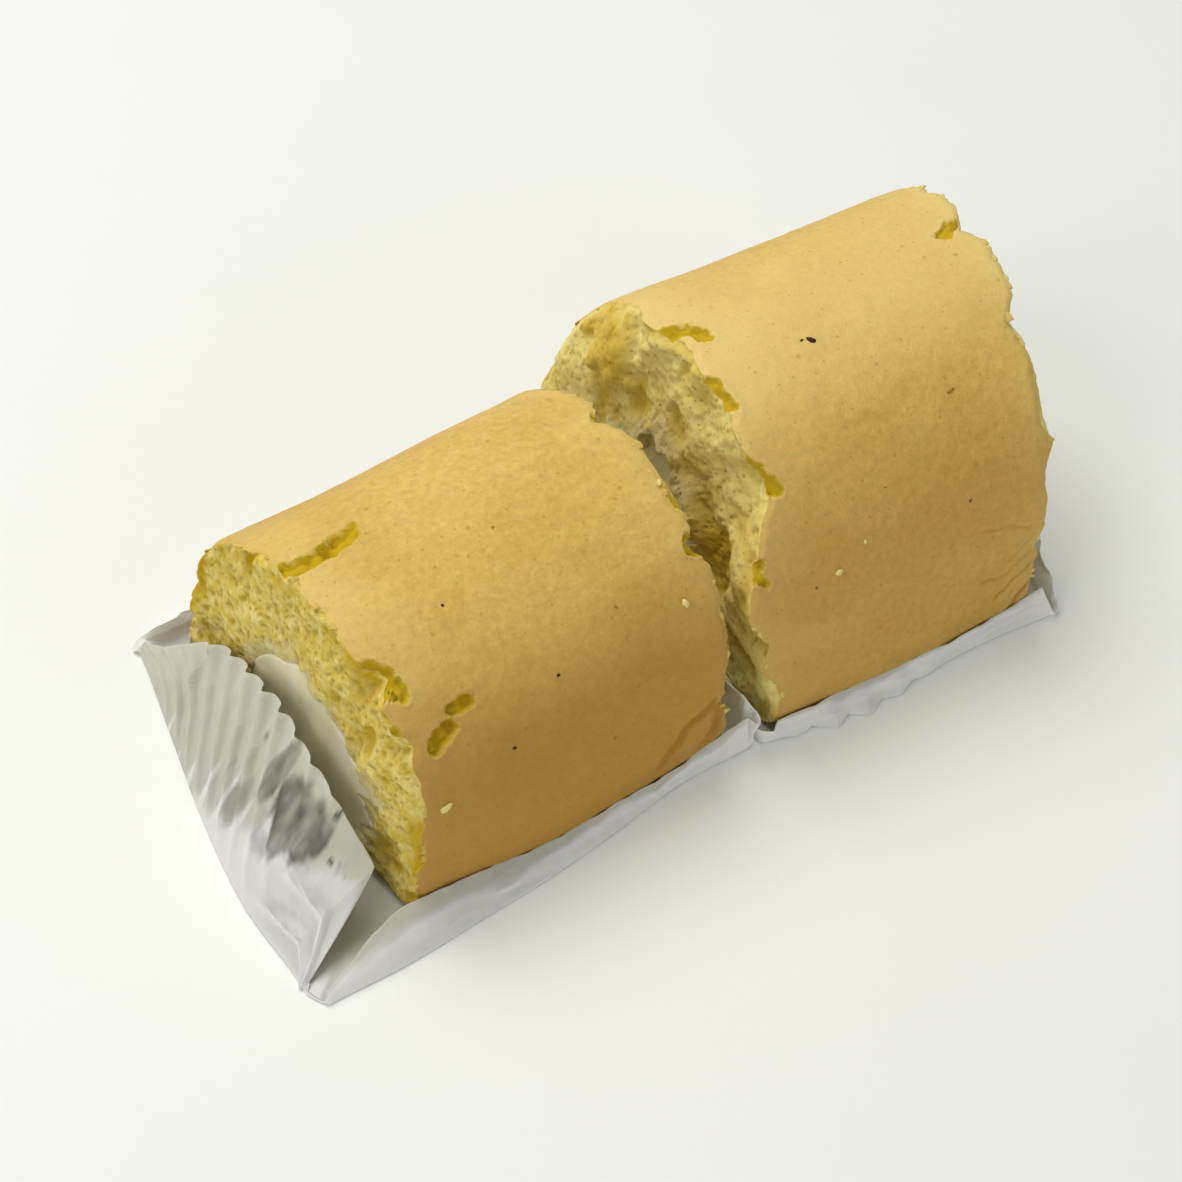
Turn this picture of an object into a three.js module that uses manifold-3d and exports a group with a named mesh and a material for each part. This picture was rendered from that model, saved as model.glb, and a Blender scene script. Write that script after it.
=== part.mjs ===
// A cream swiss roll cut into two slices that lie end to end, each in its own pleated paper case.
// Millimetres, +Z up. X runs along the roll, Y to the back, origin under the middle of the whole.

import * as THREE from "three";
import { mergeVertices } from "three/addons/utils/BufferGeometryUtils.js";
import Module from "manifold-3d";

const solids = await Module();
solids.setup();

// Clearances
const GAP = 0.3; // between pieces that touch
const PAPER = 0.45; // thickness of the paper
const FLOOR = PAPER + GAP; // height of the sponge's underside
const SEAM = 0.5; // slit where the rolled sheet meets its own start

// Stretches of the rolled sheet: underside, front corner, front, top, back
const SHEET_SHARES = [0.14, 0.07, 0.1, 0.56, 0.13];

// Fineness of the facets
const SHEET_STEPS = [7, 4, 5, 35, 7];
const SHEET_LAYERS = 4;
const SHEET_RINGS = 12;
const CREAM_RINGS = 4;
const CREAM_SIDES = 28;
const WALL_ROWS = 2;
const LONG_WALL_STEPS = 22;
const END_WALL_STEPS = 52;
const CORNER_STEPS = 4;

// The bulging foot of a slice's front
const HEM_HEIGHT = 3;
const HEM_SPREAD = 7;

const SIDES = ["front", "right", "back", "left"]; // of a case, counterclockwise
const CORNER_ROUND = 4; // of a case's floor

const COLOURS = { sponge: 0xdcae63, cream: 0xcfc8b0, paper: 0xecebe6 };

// Each slice has its own frame, under its middle, with the cut ends at its left and right.
// sheet and base are the sponge over and under the cream, rise makes the right end taller, hem is
// how far the foot of the front bulges at the left cut, the middle and the right cut. A tear lies
// at a share of the way round the sheet and along the slice. A case's wall has evenly spaced values
// along it: how far its fold bows out, how high it rises and how far it leans in.
const SLICES = [
  {
    name: "left",
    at: [-27.5, -1.5],
    turn: 0,
    seed: 3,
    length: 56,
    width: 61,
    height: 42.5,
    shoulder: 13,
    corner: 4.5,
    sheet: 18,
    base: 5,
    rise: 0.055,
    skew: 0.5,
    hem: [0.8, 2.2, 0.9],
    ends: [
      { shift: -1.5, perY: 0, perZ: 0.05, foot: 0, bulge: 0 },
      { shift: 0, perY: 0, perZ: 0, foot: 0, bulge: 0 },
    ],
    notches: [
      { end: 0, u: 0.615, reach: 3.0, wide: 0.016 },
      { end: 0, u: 0.49, reach: 2.2, wide: 0.014 },
      { end: 0, u: 0.43, reach: 1.8, wide: 0.012 },
      { end: 1, u: 0.605, reach: 2.4, wide: 0.014 },
      { end: 1, u: 0.46, reach: 1.8, wide: 0.014 },
      { end: 1, u: 0.29, reach: 1.6, wide: 0.02 },
    ],
    tears: [
      { u: 0.613, t: 0.125, long: 10.5, wide: 2.6, deep: 1.6, slant: 10 },
      { u: 0.423, t: 0.11, long: 4.6, wide: 2.6, deep: 1.5, slant: 34 },
      { u: 0.434, t: 0.19, long: 4.8, wide: 2.8, deep: 1.6, slant: 22 },
    ],
    fold: {
      frontLeft: [-50, -36],
      frontRight: [31.5, -32],
      backRight: [30, 36],
      backLeft: [-34.5, 38],
    },
    walls: {
      front: {
        bow: [0, 1.1, 1.2, 1.2, 0.4, -0.8, 0],
        rise: [1.6, 5.5, 5.4, 4, 4.1, 3.4, 4],
        lean: [1, 4.9, 3.4, 1.8, 0.2, -0.8, -0.3],
        flutes: 13,
        depth: 0.15,
        scallop: 0.2,
      },
      right: {
        bow: [0, 0, 0, 0, 0],
        rise: [9, 11.7, 13, 11.1, 5],
        lean: [0.6, 0.5, 0.4, 0.5, 0.6],
        flutes: 13,
        depth: 0.5,
        scallop: 0.5,
      },
      back: {
        bow: [0, 0, 0, 0, 0],
        rise: [4, 6.6, 8, 6.5, 3.5],
        lean: [1.5, 2.6, 3.2, 2.6, 1.5],
        flutes: 13,
        depth: 0.3,
        scallop: 0.3,
      },
      left: {
        bow: [0, 1.3, 2.6, 2.6, 0],
        rise: [2.6, 15, 19, 15.4, 6],
        lean: [1, 8.9, 12.4, 13.6, 14.5],
        flutes: 13,
        depth: 0.85,
        scallop: 0.7,
      },
    },
    dip: 1.9,
    splay: 1.2,
  },
  {
    name: "right",
    at: [38, -1],
    turn: -4,
    seed: 8,
    length: 55,
    width: 68,
    height: 50.5,
    shoulder: 16,
    corner: 4.5,
    sheet: 18,
    base: 6,
    rise: 0.01,
    skew: 1.5,
    hem: [1.8, 2.5, 1],
    ends: [
      { shift: 0, perY: 0, perZ: 0.06, foot: 3.5, bulge: -6 },
      { shift: 2.2, perY: 0.16, perZ: 0.06, foot: 0, bulge: 0 },
    ],
    notches: [
      { end: 0, u: 0.59, reach: 3.4, wide: 0.014 },
      { end: 0, u: 0.535, reach: 2.8, wide: 0.016 },
      { end: 0, u: 0.46, reach: 3.0, wide: 0.016 },
      { end: 0, u: 0.33, reach: 2.6, wide: 0.018 },
      { end: 0, u: 0.72, reach: 3.2, wide: 0.09 },
      { end: 1, u: 0.6, reach: 2.2, wide: 0.014 },
      { end: 1, u: 0.395, reach: -2.2, wide: 0.012 },
      { end: 1, u: 0.5, reach: 1.6, wide: 0.018 },
    ],
    tears: [
      { u: 0.581, t: 0.075, long: 8, wide: 2.2, deep: 1.5, slant: -6 },
      { u: 0.602, t: 0.89, long: 4.6, wide: 2.4, deep: 1.3, slant: 20 },
    ],
    fold: {
      frontLeft: [-29, -36],
      frontRight: [29.5, -37],
      backRight: [42.5, 37.5],
      backLeft: [-30.5, 37.5],
    },
    walls: {
      front: {
        bow: [0, 1.8, 2.2, 0.8, -0.2, -0.4, 0],
        rise: [4, 4, 4, 4.4, 4.3, 3.6, 5],
        lean: [-0.7, 0, 0.6, -0.3, -0.7, -0.4, 0.7],
        flutes: 9,
        depth: 0.3,
        scallop: 0.4,
      },
      right: {
        bow: [0, 0, 0, 0, 0],
        rise: [6, 14, 17, 13.7, 3.5],
        lean: [0.6, 1, 1.2, 1.3, 1.5],
        flutes: 13,
        depth: 0.8,
        scallop: 0.7,
      },
      back: {
        bow: [0, 0, 0, 0, 0],
        rise: [3.5, 6.6, 8, 6.6, 3.5],
        lean: [1, 1.7, 2, 1.7, 1],
        flutes: 13,
        depth: 0.3,
        scallop: 0.3,
      },
      left: {
        bow: [0, 0, 0, 0, 0],
        rise: [3.5, 8.3, 10, 8.2, 3],
        lean: [0.6, 0.7, 0.8, 0.7, 0.6],
        flutes: 13,
        depth: 0.5,
        scallop: 0.5,
      },
    },
    dip: 2.2,
    splay: 1.2,
  },
];

const mix = (a, b, f) => a + (b - a) * f;
const bell = (d) => Math.exp(-d * d);

/** A smooth curve through evenly spaced values. */
function smooth(values, f) {
  const points = values.map((value, n) => new THREE.Vector2(n, value));
  return new THREE.SplineCurve(points).getPoint(f).y;
}

/** A repeatable number from 0 to 1 for a place on a whole-number grid. */
function chance(i, j, k) {
  const s = Math.sin(i * 12.9898 + j * 78.233 + k * 37.719) * 43758.5453;
  return s - Math.floor(s);
}

/** A smooth repeatable unevenness from -1 to 1. */
function uneven(x, y, z) {
  const low = [x, y, z].map(Math.floor);
  const part = [x, y, z].map((c, n) => (c - low[n]) ** 2 * (3 - 2 * (c - low[n])));
  let sum = 0;
  for (let n = 0; n < 8; n++) {
    const bit = [n & 1, (n >> 1) & 1, n >> 2];
    const share = part.map((f, m) => (bit[m] ? f : 1 - f)).reduce((a, b) => a * b);
    sum += share * chance(low[0] + bit[0], low[1] + bit[1], low[2] + bit[2]);
  }
  return 2 * sum - 1;
}

/** Section point [y, z] of a rolled sheet: u runs along it from under the back, v in from the skin. */
function sheetSection(slice, u, v) {
  const half = slice.width / 2 - v * slice.sheet;
  const low = FLOOR + v * slice.base;
  const arch = slice.height - v * slice.sheet - slice.shoulder;
  const round = slice.corner * (1 - 0.4 * v);
  const back = slice.width / 2 - 0.5;
  const stretches = [
    (f) => [mix(back, round - half, f), low],
    (f) => {
      const turn = (f * Math.PI) / 2;
      return [round - half - round * Math.sin(turn), low + round * (1 - Math.cos(turn))];
    },
    (f) => [-half, mix(low + round, slice.shoulder, f)],
    (f) => [-half * Math.cos(f * Math.PI), slice.shoulder + arch * Math.sin(f * Math.PI)],
    (f) => [half, mix(slice.shoulder, FLOOR + slice.base + SEAM, f)],
  ];
  let start = 0;
  for (let n = 0; n < stretches.length; n++) {
    const share = SHEET_SHARES[n];
    if (u <= start + share + 1e-9) return stretches[n]((u - start) / share);
    start += share;
  }
  return stretches.at(-1)(1);
}

/** Share along the sheet of the n-th step round it, so that steps gather where the skin shows. */
function sheetShare(step) {
  let start = 0;
  for (let n = 0; n < SHEET_STEPS.length; n++) {
    if (step <= SHEET_STEPS[n] + 1e-9) return start + (SHEET_SHARES[n] * step) / SHEET_STEPS[n];
    step -= SHEET_STEPS[n];
    start += SHEET_SHARES[n];
  }
  return 1;
}

/** Place of a cut end at a section point, before its crumb. */
function endPlace(slice, side, y, z) {
  const end = slice.ends[side];
  const lean = end.perZ * z + end.perY * y + end.foot * bell(z / 9);
  const bulge = end.bulge * bell((y + slice.width / 2) / 14) * bell((z - slice.height / 2) / 12);
  return (side - 0.5) * slice.length + end.shift + lean + bulge;
}

/** How far the torn crumb and the notches in the skin's edge draw a cut end inwards. */
function endCrumb(slice, side, u, v, y, z) {
  const coarse = 0.8 * uneven(y / 6, z / 6, slice.seed + 7 * side);
  const fine = 0.25 * uneven(y / 3, z / 3, slice.seed + 20);
  const notches = slice.notches
    .filter((notch) => notch.end === side)
    .reduce((sum, notch) => sum + notch.reach * bell((u - notch.u) / notch.wide) * bell(v / 0.3), 0);
  return (coarse + fine) * Math.min(1, 0.4 + v * 4) + notches;
}

/** A point of the rolled sheet, t running from the left cut to the right one. */
function sheetPoint(slice, u, v, t) {
  let [y, z] = sheetSection(slice, u, v);
  const tall = 1 + slice.rise * (2 * t - 1);
  const front = THREE.MathUtils.clamp((-4 * y) / slice.width, 0, 1);
  const hem = smooth(slice.hem, t) * (1 - v) * bell((z - FLOOR - HEM_HEIGHT) / HEM_SPREAD);
  y += (slice.skew * (z - FLOOR)) / slice.height - hem * front;
  const swell = 0.55 * (1 - v) * uneven(t * 3, u * 12, slice.seed) * Math.min(1, (z - FLOOR) / 6);
  const out = new THREE.Vector2(y, z - slice.shoulder).normalize();
  y += out.x * swell;
  z = FLOOR + (z - FLOOR) * tall + Math.max(0, out.y) * swell;
  const left = endPlace(slice, 0, y, z) + endCrumb(slice, 0, u, v, y, z);
  const right = endPlace(slice, 1, y, z) - endCrumb(slice, 1, u, v, y, z);
  return new THREE.Vector3(mix(left, right, t), y, z);
}

/** Moves every vertex of a geometry by a function and welds it. */
function reshape(geometry, place) {
  const position = geometry.getAttribute("position");
  const point = new THREE.Vector3();
  for (let n = 0; n < position.count; n++) {
    point.fromBufferAttribute(position, n);
    position.setXYZ(n, ...place(point, n).toArray());
  }
  geometry.deleteAttribute("normal");
  geometry.deleteAttribute("uv");
  geometry.clearGroups();
  return mergeVertices(geometry, 1e-4);
}

/** The closed solid of a welded geometry. */
function solidOf(geometry) {
  const mesh = new solids.Mesh({
    numProp: 3,
    vertProperties: Float32Array.from(geometry.getAttribute("position").array),
    triVerts: Uint32Array.from(geometry.getIndex().array),
  });
  mesh.merge();
  return new solids.Manifold(mesh);
}

/** The geometry of a closed solid. */
function geometryOf(solid) {
  const mesh = solid.getMesh();
  const geometry = new THREE.BufferGeometry();
  geometry.setAttribute("position", new THREE.BufferAttribute(Float32Array.from(mesh.vertProperties), 3));
  geometry.setIndex(new THREE.BufferAttribute(Uint32Array.from(mesh.triVerts), 1));
  return geometry;
}

/** A spindle-shaped cutter for a tear in the skin. */
function tearCutter(slice, tear) {
  const at = sheetPoint(slice, tear.u, 0, tear.t);
  const along = sheetPoint(slice, tear.u, 0, tear.t + 0.02).sub(at).normalize();
  const round = sheetPoint(slice, tear.u + 0.01, 0, tear.t).sub(at).normalize();
  const out = new THREE.Vector3().crossVectors(along, round).normalize();
  round.crossVectors(out, along);
  const turn = new THREE.Matrix4().makeBasis(along, round, out).setPosition(at);
  const cutter = reshape(new THREE.IcosahedronGeometry(1, 1), (p) => {
    const ragged = 1 + 0.35 * uneven(3 * p.x + slice.seed, 3 * p.y, 3 * p.z + tear.u * 50);
    return new THREE.Vector3(
      (p.x * tear.long) / 2,
      (p.y * ragged * tear.wide) / 2,
      p.z * ragged * tear.deep,
    );
  });
  cutter.applyMatrix4(new THREE.Matrix4().makeRotationZ(THREE.MathUtils.degToRad(tear.slant)));
  cutter.applyMatrix4(turn);
  return cutter;
}

/** The sponge: a thick sheet rolled once round the cream, with cut ends and a torn skin. */
function sponge(slice) {
  const steps = SHEET_STEPS.reduce((a, b) => a + b);
  const sheet = reshape(new THREE.BoxGeometry(1, 1, 1, steps, SHEET_LAYERS, SHEET_RINGS), (p) => {
    const u = sheetShare((p.x + 0.5) * steps);
    return sheetPoint(slice, u, 0.5 - p.y, 0.5 + 0.5 * Math.sin(p.z * Math.PI));
  });
  const torn = slice.tears.reduce(
    (solid, tear) => solid.subtract(solidOf(tearCutter(slice, tear))),
    solidOf(sheet),
  );
  return geometryOf(torn);
}

/** The cream: the core that fills the rolled sheet, smeared and a little sunken at its cut ends. */
function cream(slice) {
  const rows = CREAM_RINGS + 6;
  const columns = CREAM_SIDES;
  const inset = 1 + GAP / slice.sheet;
  const middle = [0, mix(FLOOR + slice.base, slice.height - slice.sheet, 0.5)];
  const outline = (column) => {
    const share = (column % columns) / columns;
    const [y, z] = sheetSection(slice, mix(0.05, 0.985, share), inset);
    const limit = slice.width / 2 - slice.sheet - GAP;
    return [THREE.MathUtils.clamp(y, -limit, limit), Math.max(z, FLOOR + slice.base + SEAM + GAP)];
  };
  const shrink = [0, 0.5, 0.85, 1];
  return reshape(new THREE.SphereGeometry(1, columns, rows), (point, n) => {
    const row = Math.floor(n / (columns + 1));
    const column = n % (columns + 1);
    const cap = Math.min(row, rows - row, 3);
    let [y, z] = outline(column).map((c, m) => mix(middle[m], c, shrink[cap]));
    const t = THREE.MathUtils.clamp((row - 3) / CREAM_RINGS, 0, 1);
    y += (slice.skew * (z - FLOOR)) / slice.height;
    z = FLOOR + (z - FLOOR) * (1 + slice.rise * (2 * t - 1));
    const sunk = (side) => 2.0 - 0.5 * (3 - cap) + 0.5 * uneven(y / 5, z / 9, slice.seed + side);
    const left = endPlace(slice, 0, y, z) + sunk(0);
    const right = endPlace(slice, 1, y, z) - sunk(1);
    return new THREE.Vector3(mix(left, right, t), y, z);
  });
}

/** The stretches of a case's fold line, counterclockwise from the front left. */
function foldLine(slice) {
  const names = ["frontLeft", "frontRight", "backRight", "backLeft"];
  const corners = names.map((name) => new THREE.Vector2(...slice.fold[name]));
  const facing = [[0, -1], [1, 0], [0, 1], [-1, 0]].map((way) => new THREE.Vector2(...way));
  const stretches = [];
  SIDES.forEach((side, n) => {
    const [a, b, c] = [corners[n], corners[(n + 1) % 4], corners[(n + 2) % 4]];
    const toB = b.clone().sub(a).normalize().multiplyScalar(CORNER_ROUND);
    const toC = c.clone().sub(b).normalize().multiplyScalar(CORNER_ROUND);
    stretches.push({
      side,
      out: [facing[n], facing[n]],
      steps: n % 2 ? END_WALL_STEPS : LONG_WALL_STEPS,
      curve: new THREE.LineCurve(a.clone().add(toB), b.clone().sub(toB)),
    });
    stretches.push({
      side,
      next: SIDES[(n + 1) % 4],
      out: [facing[n], facing[(n + 1) % 4]],
      steps: CORNER_STEPS,
      curve: new THREE.QuadraticBezierCurve(b.clone().sub(toB), b, b.clone().add(toC)),
    });
  });
  return stretches;
}

/** Bow of the fold, height, inward lean and flute of a case's wall at a share of a stretch. */
function wallAt(slice, stretch, f) {
  const wall = slice.walls[stretch.side];
  if (!stretch.next) {
    const wave = Math.cos(2 * Math.PI * wall.flutes * f);
    const fade = Math.min(1, 8 * f, 8 * (1 - f));
    return {
      bow: smooth(wall.bow, f),
      height: smooth(wall.rise, f) + wall.scallop * wave * fade,
      lean: smooth(wall.lean, f),
      flute: wall.depth * wave * fade,
    };
  }
  const next = slice.walls[stretch.next];
  const ease = Math.sin(f * Math.PI);
  return {
    bow: 0,
    height: mix(mix(wall.rise.at(-1), next.rise[0], f), slice.dip, ease),
    lean: mix(mix(wall.lean.at(-1), next.lean[0], f), -slice.splay, ease),
    flute: 0,
  };
}

/** The paper case: a flat floor and fluted walls that lean on the slice, as one thin shell. */
function paperCase(slice) {
  const rails = [];
  for (const stretch of foldLine(slice)) {
    for (let n = 0; n < stretch.steps; n++) {
      const f = n / stretch.steps;
      const out = stretch.out[0].clone().lerp(stretch.out[1], f).normalize();
      rails.push({ point: stretch.curve.getPoint(f), out, ...wallAt(slice, stretch, f) });
    }
  }
  const columns = rails.length;
  const rows = 2 * WALL_ROWS + 3;
  const wallPoint = (rail, rise, face) => {
    const thick = face * PAPER;
    const step = rail.bow + rail.flute * rise - rail.lean * rise ** 1.3 - thick;
    const [x, y] = [rail.point.x + rail.out.x * step, rail.point.y + rail.out.y * step];
    return new THREE.Vector3(x, y, mix(thick, rail.height, rise));
  };
  return reshape(new THREE.SphereGeometry(1, columns, rows), (point, n) => {
    const row = Math.floor(n / (columns + 1));
    const rail = rails[n % (columns + 1) % columns];
    if (row === 0) return new THREE.Vector3(0, 0, PAPER);
    if (row === rows) return new THREE.Vector3(0, 0, 0);
    if (row <= WALL_ROWS + 1) return wallPoint(rail, (row - 1) / WALL_ROWS, 1);
    return wallPoint(rail, (rows - 1 - row) / WALL_ROWS, 0);
  });
}

const finish = (color, roughness) => new THREE.MeshStandardMaterial({ color, roughness, metalness: 0 });
const MATERIALS = {
  sponge: finish(COLOURS.sponge, 0.85),
  cream: finish(COLOURS.cream, 0.6),
  case: finish(COLOURS.paper, 0.8),
};
Object.entries({ sponge: "sponge", cream: "cream", case: "paper" }).forEach(([kind, slot]) => {
  MATERIALS[kind].name = slot;
});

const builders = { sponge, cream, case: paperCase };
const roll = new THREE.Group();
for (const slice of SLICES) {
  const place = new THREE.Group();
  place.position.set(...slice.at, 0);
  place.rotation.z = THREE.MathUtils.degToRad(slice.turn);
  for (const [kind, build] of Object.entries(builders)) {
    const mesh = new THREE.Mesh(build(slice), MATERIALS[kind]);
    mesh.name = `${kind}_${slice.name}`;
    place.add(mesh);
  }
  roll.add(place);
}

// The whole is set so that its box stands centred on the origin.
const bounds = new THREE.Box3().setFromObject(roll, true);
roll.position.set(-(bounds.min.x + bounds.max.x) / 2, -(bounds.min.y + bounds.max.y) / 2, -bounds.min.z);

const part = new THREE.Group();
part.name = "sliced_swiss_roll";
part.add(roll);

export default part;
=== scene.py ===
"""Dresses a sliced cream roll in its paper cases: torn skin, porous crumb, smeared cream and pleated paper.

Sizes are millimetres in each slice's own frame, which lies under the slice's middle with X along the roll.
Meshes are written in metres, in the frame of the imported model.
"""

import logging
import math
from dataclasses import dataclass, field
from enum import Enum

import bmesh
import bpy
import numpy as np
from mathutils import Matrix, Vector


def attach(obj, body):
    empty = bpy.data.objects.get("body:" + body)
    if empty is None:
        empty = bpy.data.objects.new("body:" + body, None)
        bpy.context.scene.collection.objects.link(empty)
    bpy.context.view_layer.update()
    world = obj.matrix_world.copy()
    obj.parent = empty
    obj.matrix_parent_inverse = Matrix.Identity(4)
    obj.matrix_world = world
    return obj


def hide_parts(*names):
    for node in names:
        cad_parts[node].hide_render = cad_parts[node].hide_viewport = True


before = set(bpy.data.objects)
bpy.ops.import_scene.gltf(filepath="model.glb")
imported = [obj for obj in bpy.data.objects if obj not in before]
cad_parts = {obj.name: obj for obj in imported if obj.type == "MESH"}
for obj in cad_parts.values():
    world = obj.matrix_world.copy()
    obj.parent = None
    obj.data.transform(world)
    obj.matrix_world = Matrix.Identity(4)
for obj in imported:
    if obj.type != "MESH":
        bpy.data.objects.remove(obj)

Array = np.ndarray
Number = Array | float
Colour = tuple[float, float, float]

MM = 0.001
TINY = 1e-9
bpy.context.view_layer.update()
BODY = "root"
SPONGE_MASKS = ("crumb", "pit", "torn", "soaked", "brown", "pale", "burnt")

# Multipliers of the chance numbers, uneven enough to leave no pattern between neighbouring places.
SCATTER = (12.9898, 78.233, 37.719)
SCATTER_SCALE = 43758.5453
LAYER_SHIFT = 17.3

log = logging.getLogger("sliced_roll")


class Cut(Enum):
    """The two cut ends of a slice."""

    LEFT = 0
    RIGHT = 1

    @property
    def inward(self) -> float:
        """The way along X from this end into the slice."""
        return 1.0 - 2.0 * self.value


class Wall(Enum):
    """The walls of a paper case, counterclockwise from the front."""

    FRONT = 0
    RIGHT = 1
    BACK = 2
    LEFT = 3


def mix(a: Number, b: Number, f: Number) -> Number:
    """A value between a and b."""
    return a + (b - a) * f


def bell(d: Number) -> Number:
    """A bell curve of height 1."""
    return np.exp(-np.square(d))


def ease(low: Number, high: Number, x: Number) -> Number:
    """A smooth step from 0 at low to 1 at high."""
    f = np.clip((x - low) / (high - low), 0.0, 1.0)
    return f * f * (3.0 - 2.0 * f)


def smooth(values: tuple[float, ...], f: Number) -> Number:
    """A smooth curve through evenly spaced values.

    Args:
        values: what the curve passes through.
        f: shares of the way along it.

    Returns:
        The curve's values there.
    """
    v = np.asarray(values, float)
    last = len(v) - 1
    place = np.clip(f, 0.0, 1.0) * last
    i = np.minimum(np.floor(place).astype(int), last)
    w = place - i
    a, b = v[np.maximum(i - 1, 0)], v[i]
    c, d = v[np.minimum(i + 1, last)], v[np.minimum(i + 2, last)]
    leave, arrive = (c - a) / 2, (d - b) / 2
    cubic = 2 * b - 2 * c + leave + arrive
    square = 3 * c - 3 * b - 2 * leave - arrive
    return cubic * w**3 + square * w**2 + leave * w + b


def chance(i: Number, j: Number, k: Number) -> Number:
    """Repeatable numbers from 0 to 1 for places on a whole-number grid."""
    s = np.sin(i * SCATTER[0] + j * SCATTER[1] + k * SCATTER[2]) * SCATTER_SCALE
    return s - np.floor(s)


def uneven(x: Number, y: Number, z: Number) -> Array:
    """A smooth repeatable unevenness.

    Args:
        x, y, z: places, in lumps.

    Returns:
        Values from -1 to 1.
    """
    x, y, z = np.broadcast_arrays(np.asarray(x, float), np.asarray(y, float), np.asarray(z, float))
    low = [np.floor(c) for c in (x, y, z)]
    part = [(c - b) ** 2 * (3.0 - 2.0 * (c - b)) for c, b in zip((x, y, z), low)]
    total = np.zeros_like(x)
    for n in range(8):
        bit = (n & 1, (n >> 1) & 1, n >> 2)
        share = np.ones_like(x)
        for f, b in zip(part, bit):
            share = share * (f if b else 1.0 - f)
        total += share * chance(low[0] + bit[0], low[1] + bit[1], low[2] + bit[2])
    return 2.0 * total - 1.0


def layered(x: Number, y: Number, z: Number, layers: int = 3) -> Array:
    """Unevenness of several sizes, each half as large and half as strong as the last."""
    z = np.asarray(z)
    return sum(uneven(x * 2**n, y * 2**n, z * 2**n + LAYER_SHIFT * n) / 2**n for n in range(layers))


def jagged(x: Number, seed: float) -> Array:
    """An angular repeatable line from 0 to 1, with a bend at every whole number."""
    i = np.floor(x)
    return mix(chance(i, seed, 3.0), chance(i + 1.0, seed, 3.0), x - i)


def ridge(turn: Number, tall: float = 1.5, wide: float = 0.18, valley: float = 0.48) -> Number:
    """A row of rounded ridges, one at every whole number, with flat valleys between them."""
    return tall * bell((turn - np.round(turn)) / wide) - valley


def tooth(d: Number, pointed: float = 0.75, half: float = 1.6) -> Number:
    """A pointed bite of height 1, with slightly rounded flanks."""
    return mix(bell(d), np.maximum(0.0, 1.0 - np.abs(d) / half), pointed)


def cells(x: Array, y: Array, seed: float) -> tuple[Array, Array]:
    """Distance to the nearest of a field of scattered points.

    Args:
        x, y: places, in cells.
        seed: picks the field.

    Returns:
        The distance in cells, and a number from 0 to 1 that belongs to the nearest point.
    """
    i, j = np.floor(x), np.floor(y)
    near = np.full(np.shape(x), np.inf)
    owner = np.zeros(np.shape(x))
    for di in (-1, 0, 1):
        for dj in (-1, 0, 1):
            ci, cj = i + di, j + dj
            away = np.hypot(x - ci - chance(ci, cj, seed), y - cj - chance(ci, cj, seed + 5.0))
            owner = np.where(away < near, chance(ci, cj, seed + 9.0), owner)
            near = np.minimum(near, away)
    return near, owner


@dataclass(frozen=True)
class Lumps:
    """Unevenness of a surface: how tall and how wide its lumps are, and of how many sizes."""

    tall: float
    wide: float
    sizes: int = 1

    def at(self, a: Number, b: Number, seed: float) -> Array:
        """Heights over the plain surface, at places in millimetres."""
        return self.tall * layered(a / self.wide, b / self.wide, seed, self.sizes)


@dataclass(frozen=True)
class End:
    """How a cut end lies: its shift, slants, set-back foot and bulge at the front."""

    shift: float = 0.0
    per_y: float = 0.0
    per_z: float = 0.0
    foot: float = 0.0
    bulge: float = 0.0


@dataclass(frozen=True)
class Notch:
    """A bite out of the skin's edge at a cut, at a share of the way round; a negative reach stands out."""

    cut: Cut
    u: float
    reach: float
    wide: float


@dataclass(frozen=True)
class Mark:
    """A line on the skin between two places, each a share round the sheet and a share along the slice."""

    start: tuple[float, float]
    stop: tuple[float, float]
    wide: float
    deep: float


@dataclass(frozen=True)
class SkinGrid:
    """Places of the skin's vertices.

    u and t are shares round the sheet and along the slice, x and arc the same in millimetres. plain_x is
    x as it would be with smooth cut ends.
    """

    u: Array
    t: Array
    x: Array
    arc: Array
    plain_x: Array

    def along_mark(self, mark: Mark) -> tuple[Array, Array, float]:
        """Lays a mark on the skin.

        Args:
            mark: the line.

        Returns:
            Millimetres along the line from its middle, millimetres across it, and its length.
        """
        ends = []
        for u, t in (mark.start, mark.stop):
            at = np.argmin(np.abs(self.u[:, 0] - u)), np.argmin(np.abs(self.t[0] - t))
            ends.append(np.array([self.plain_x[at], self.arc[at]]))
        middle, way = (ends[0] + ends[1]) / 2, ends[1] - ends[0]
        long = float(np.linalg.norm(way))
        c, s = way / long
        a, b = self.x - middle[0], self.arc - middle[1]
        return a * c + b * s, b * c - a * s, long


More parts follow.
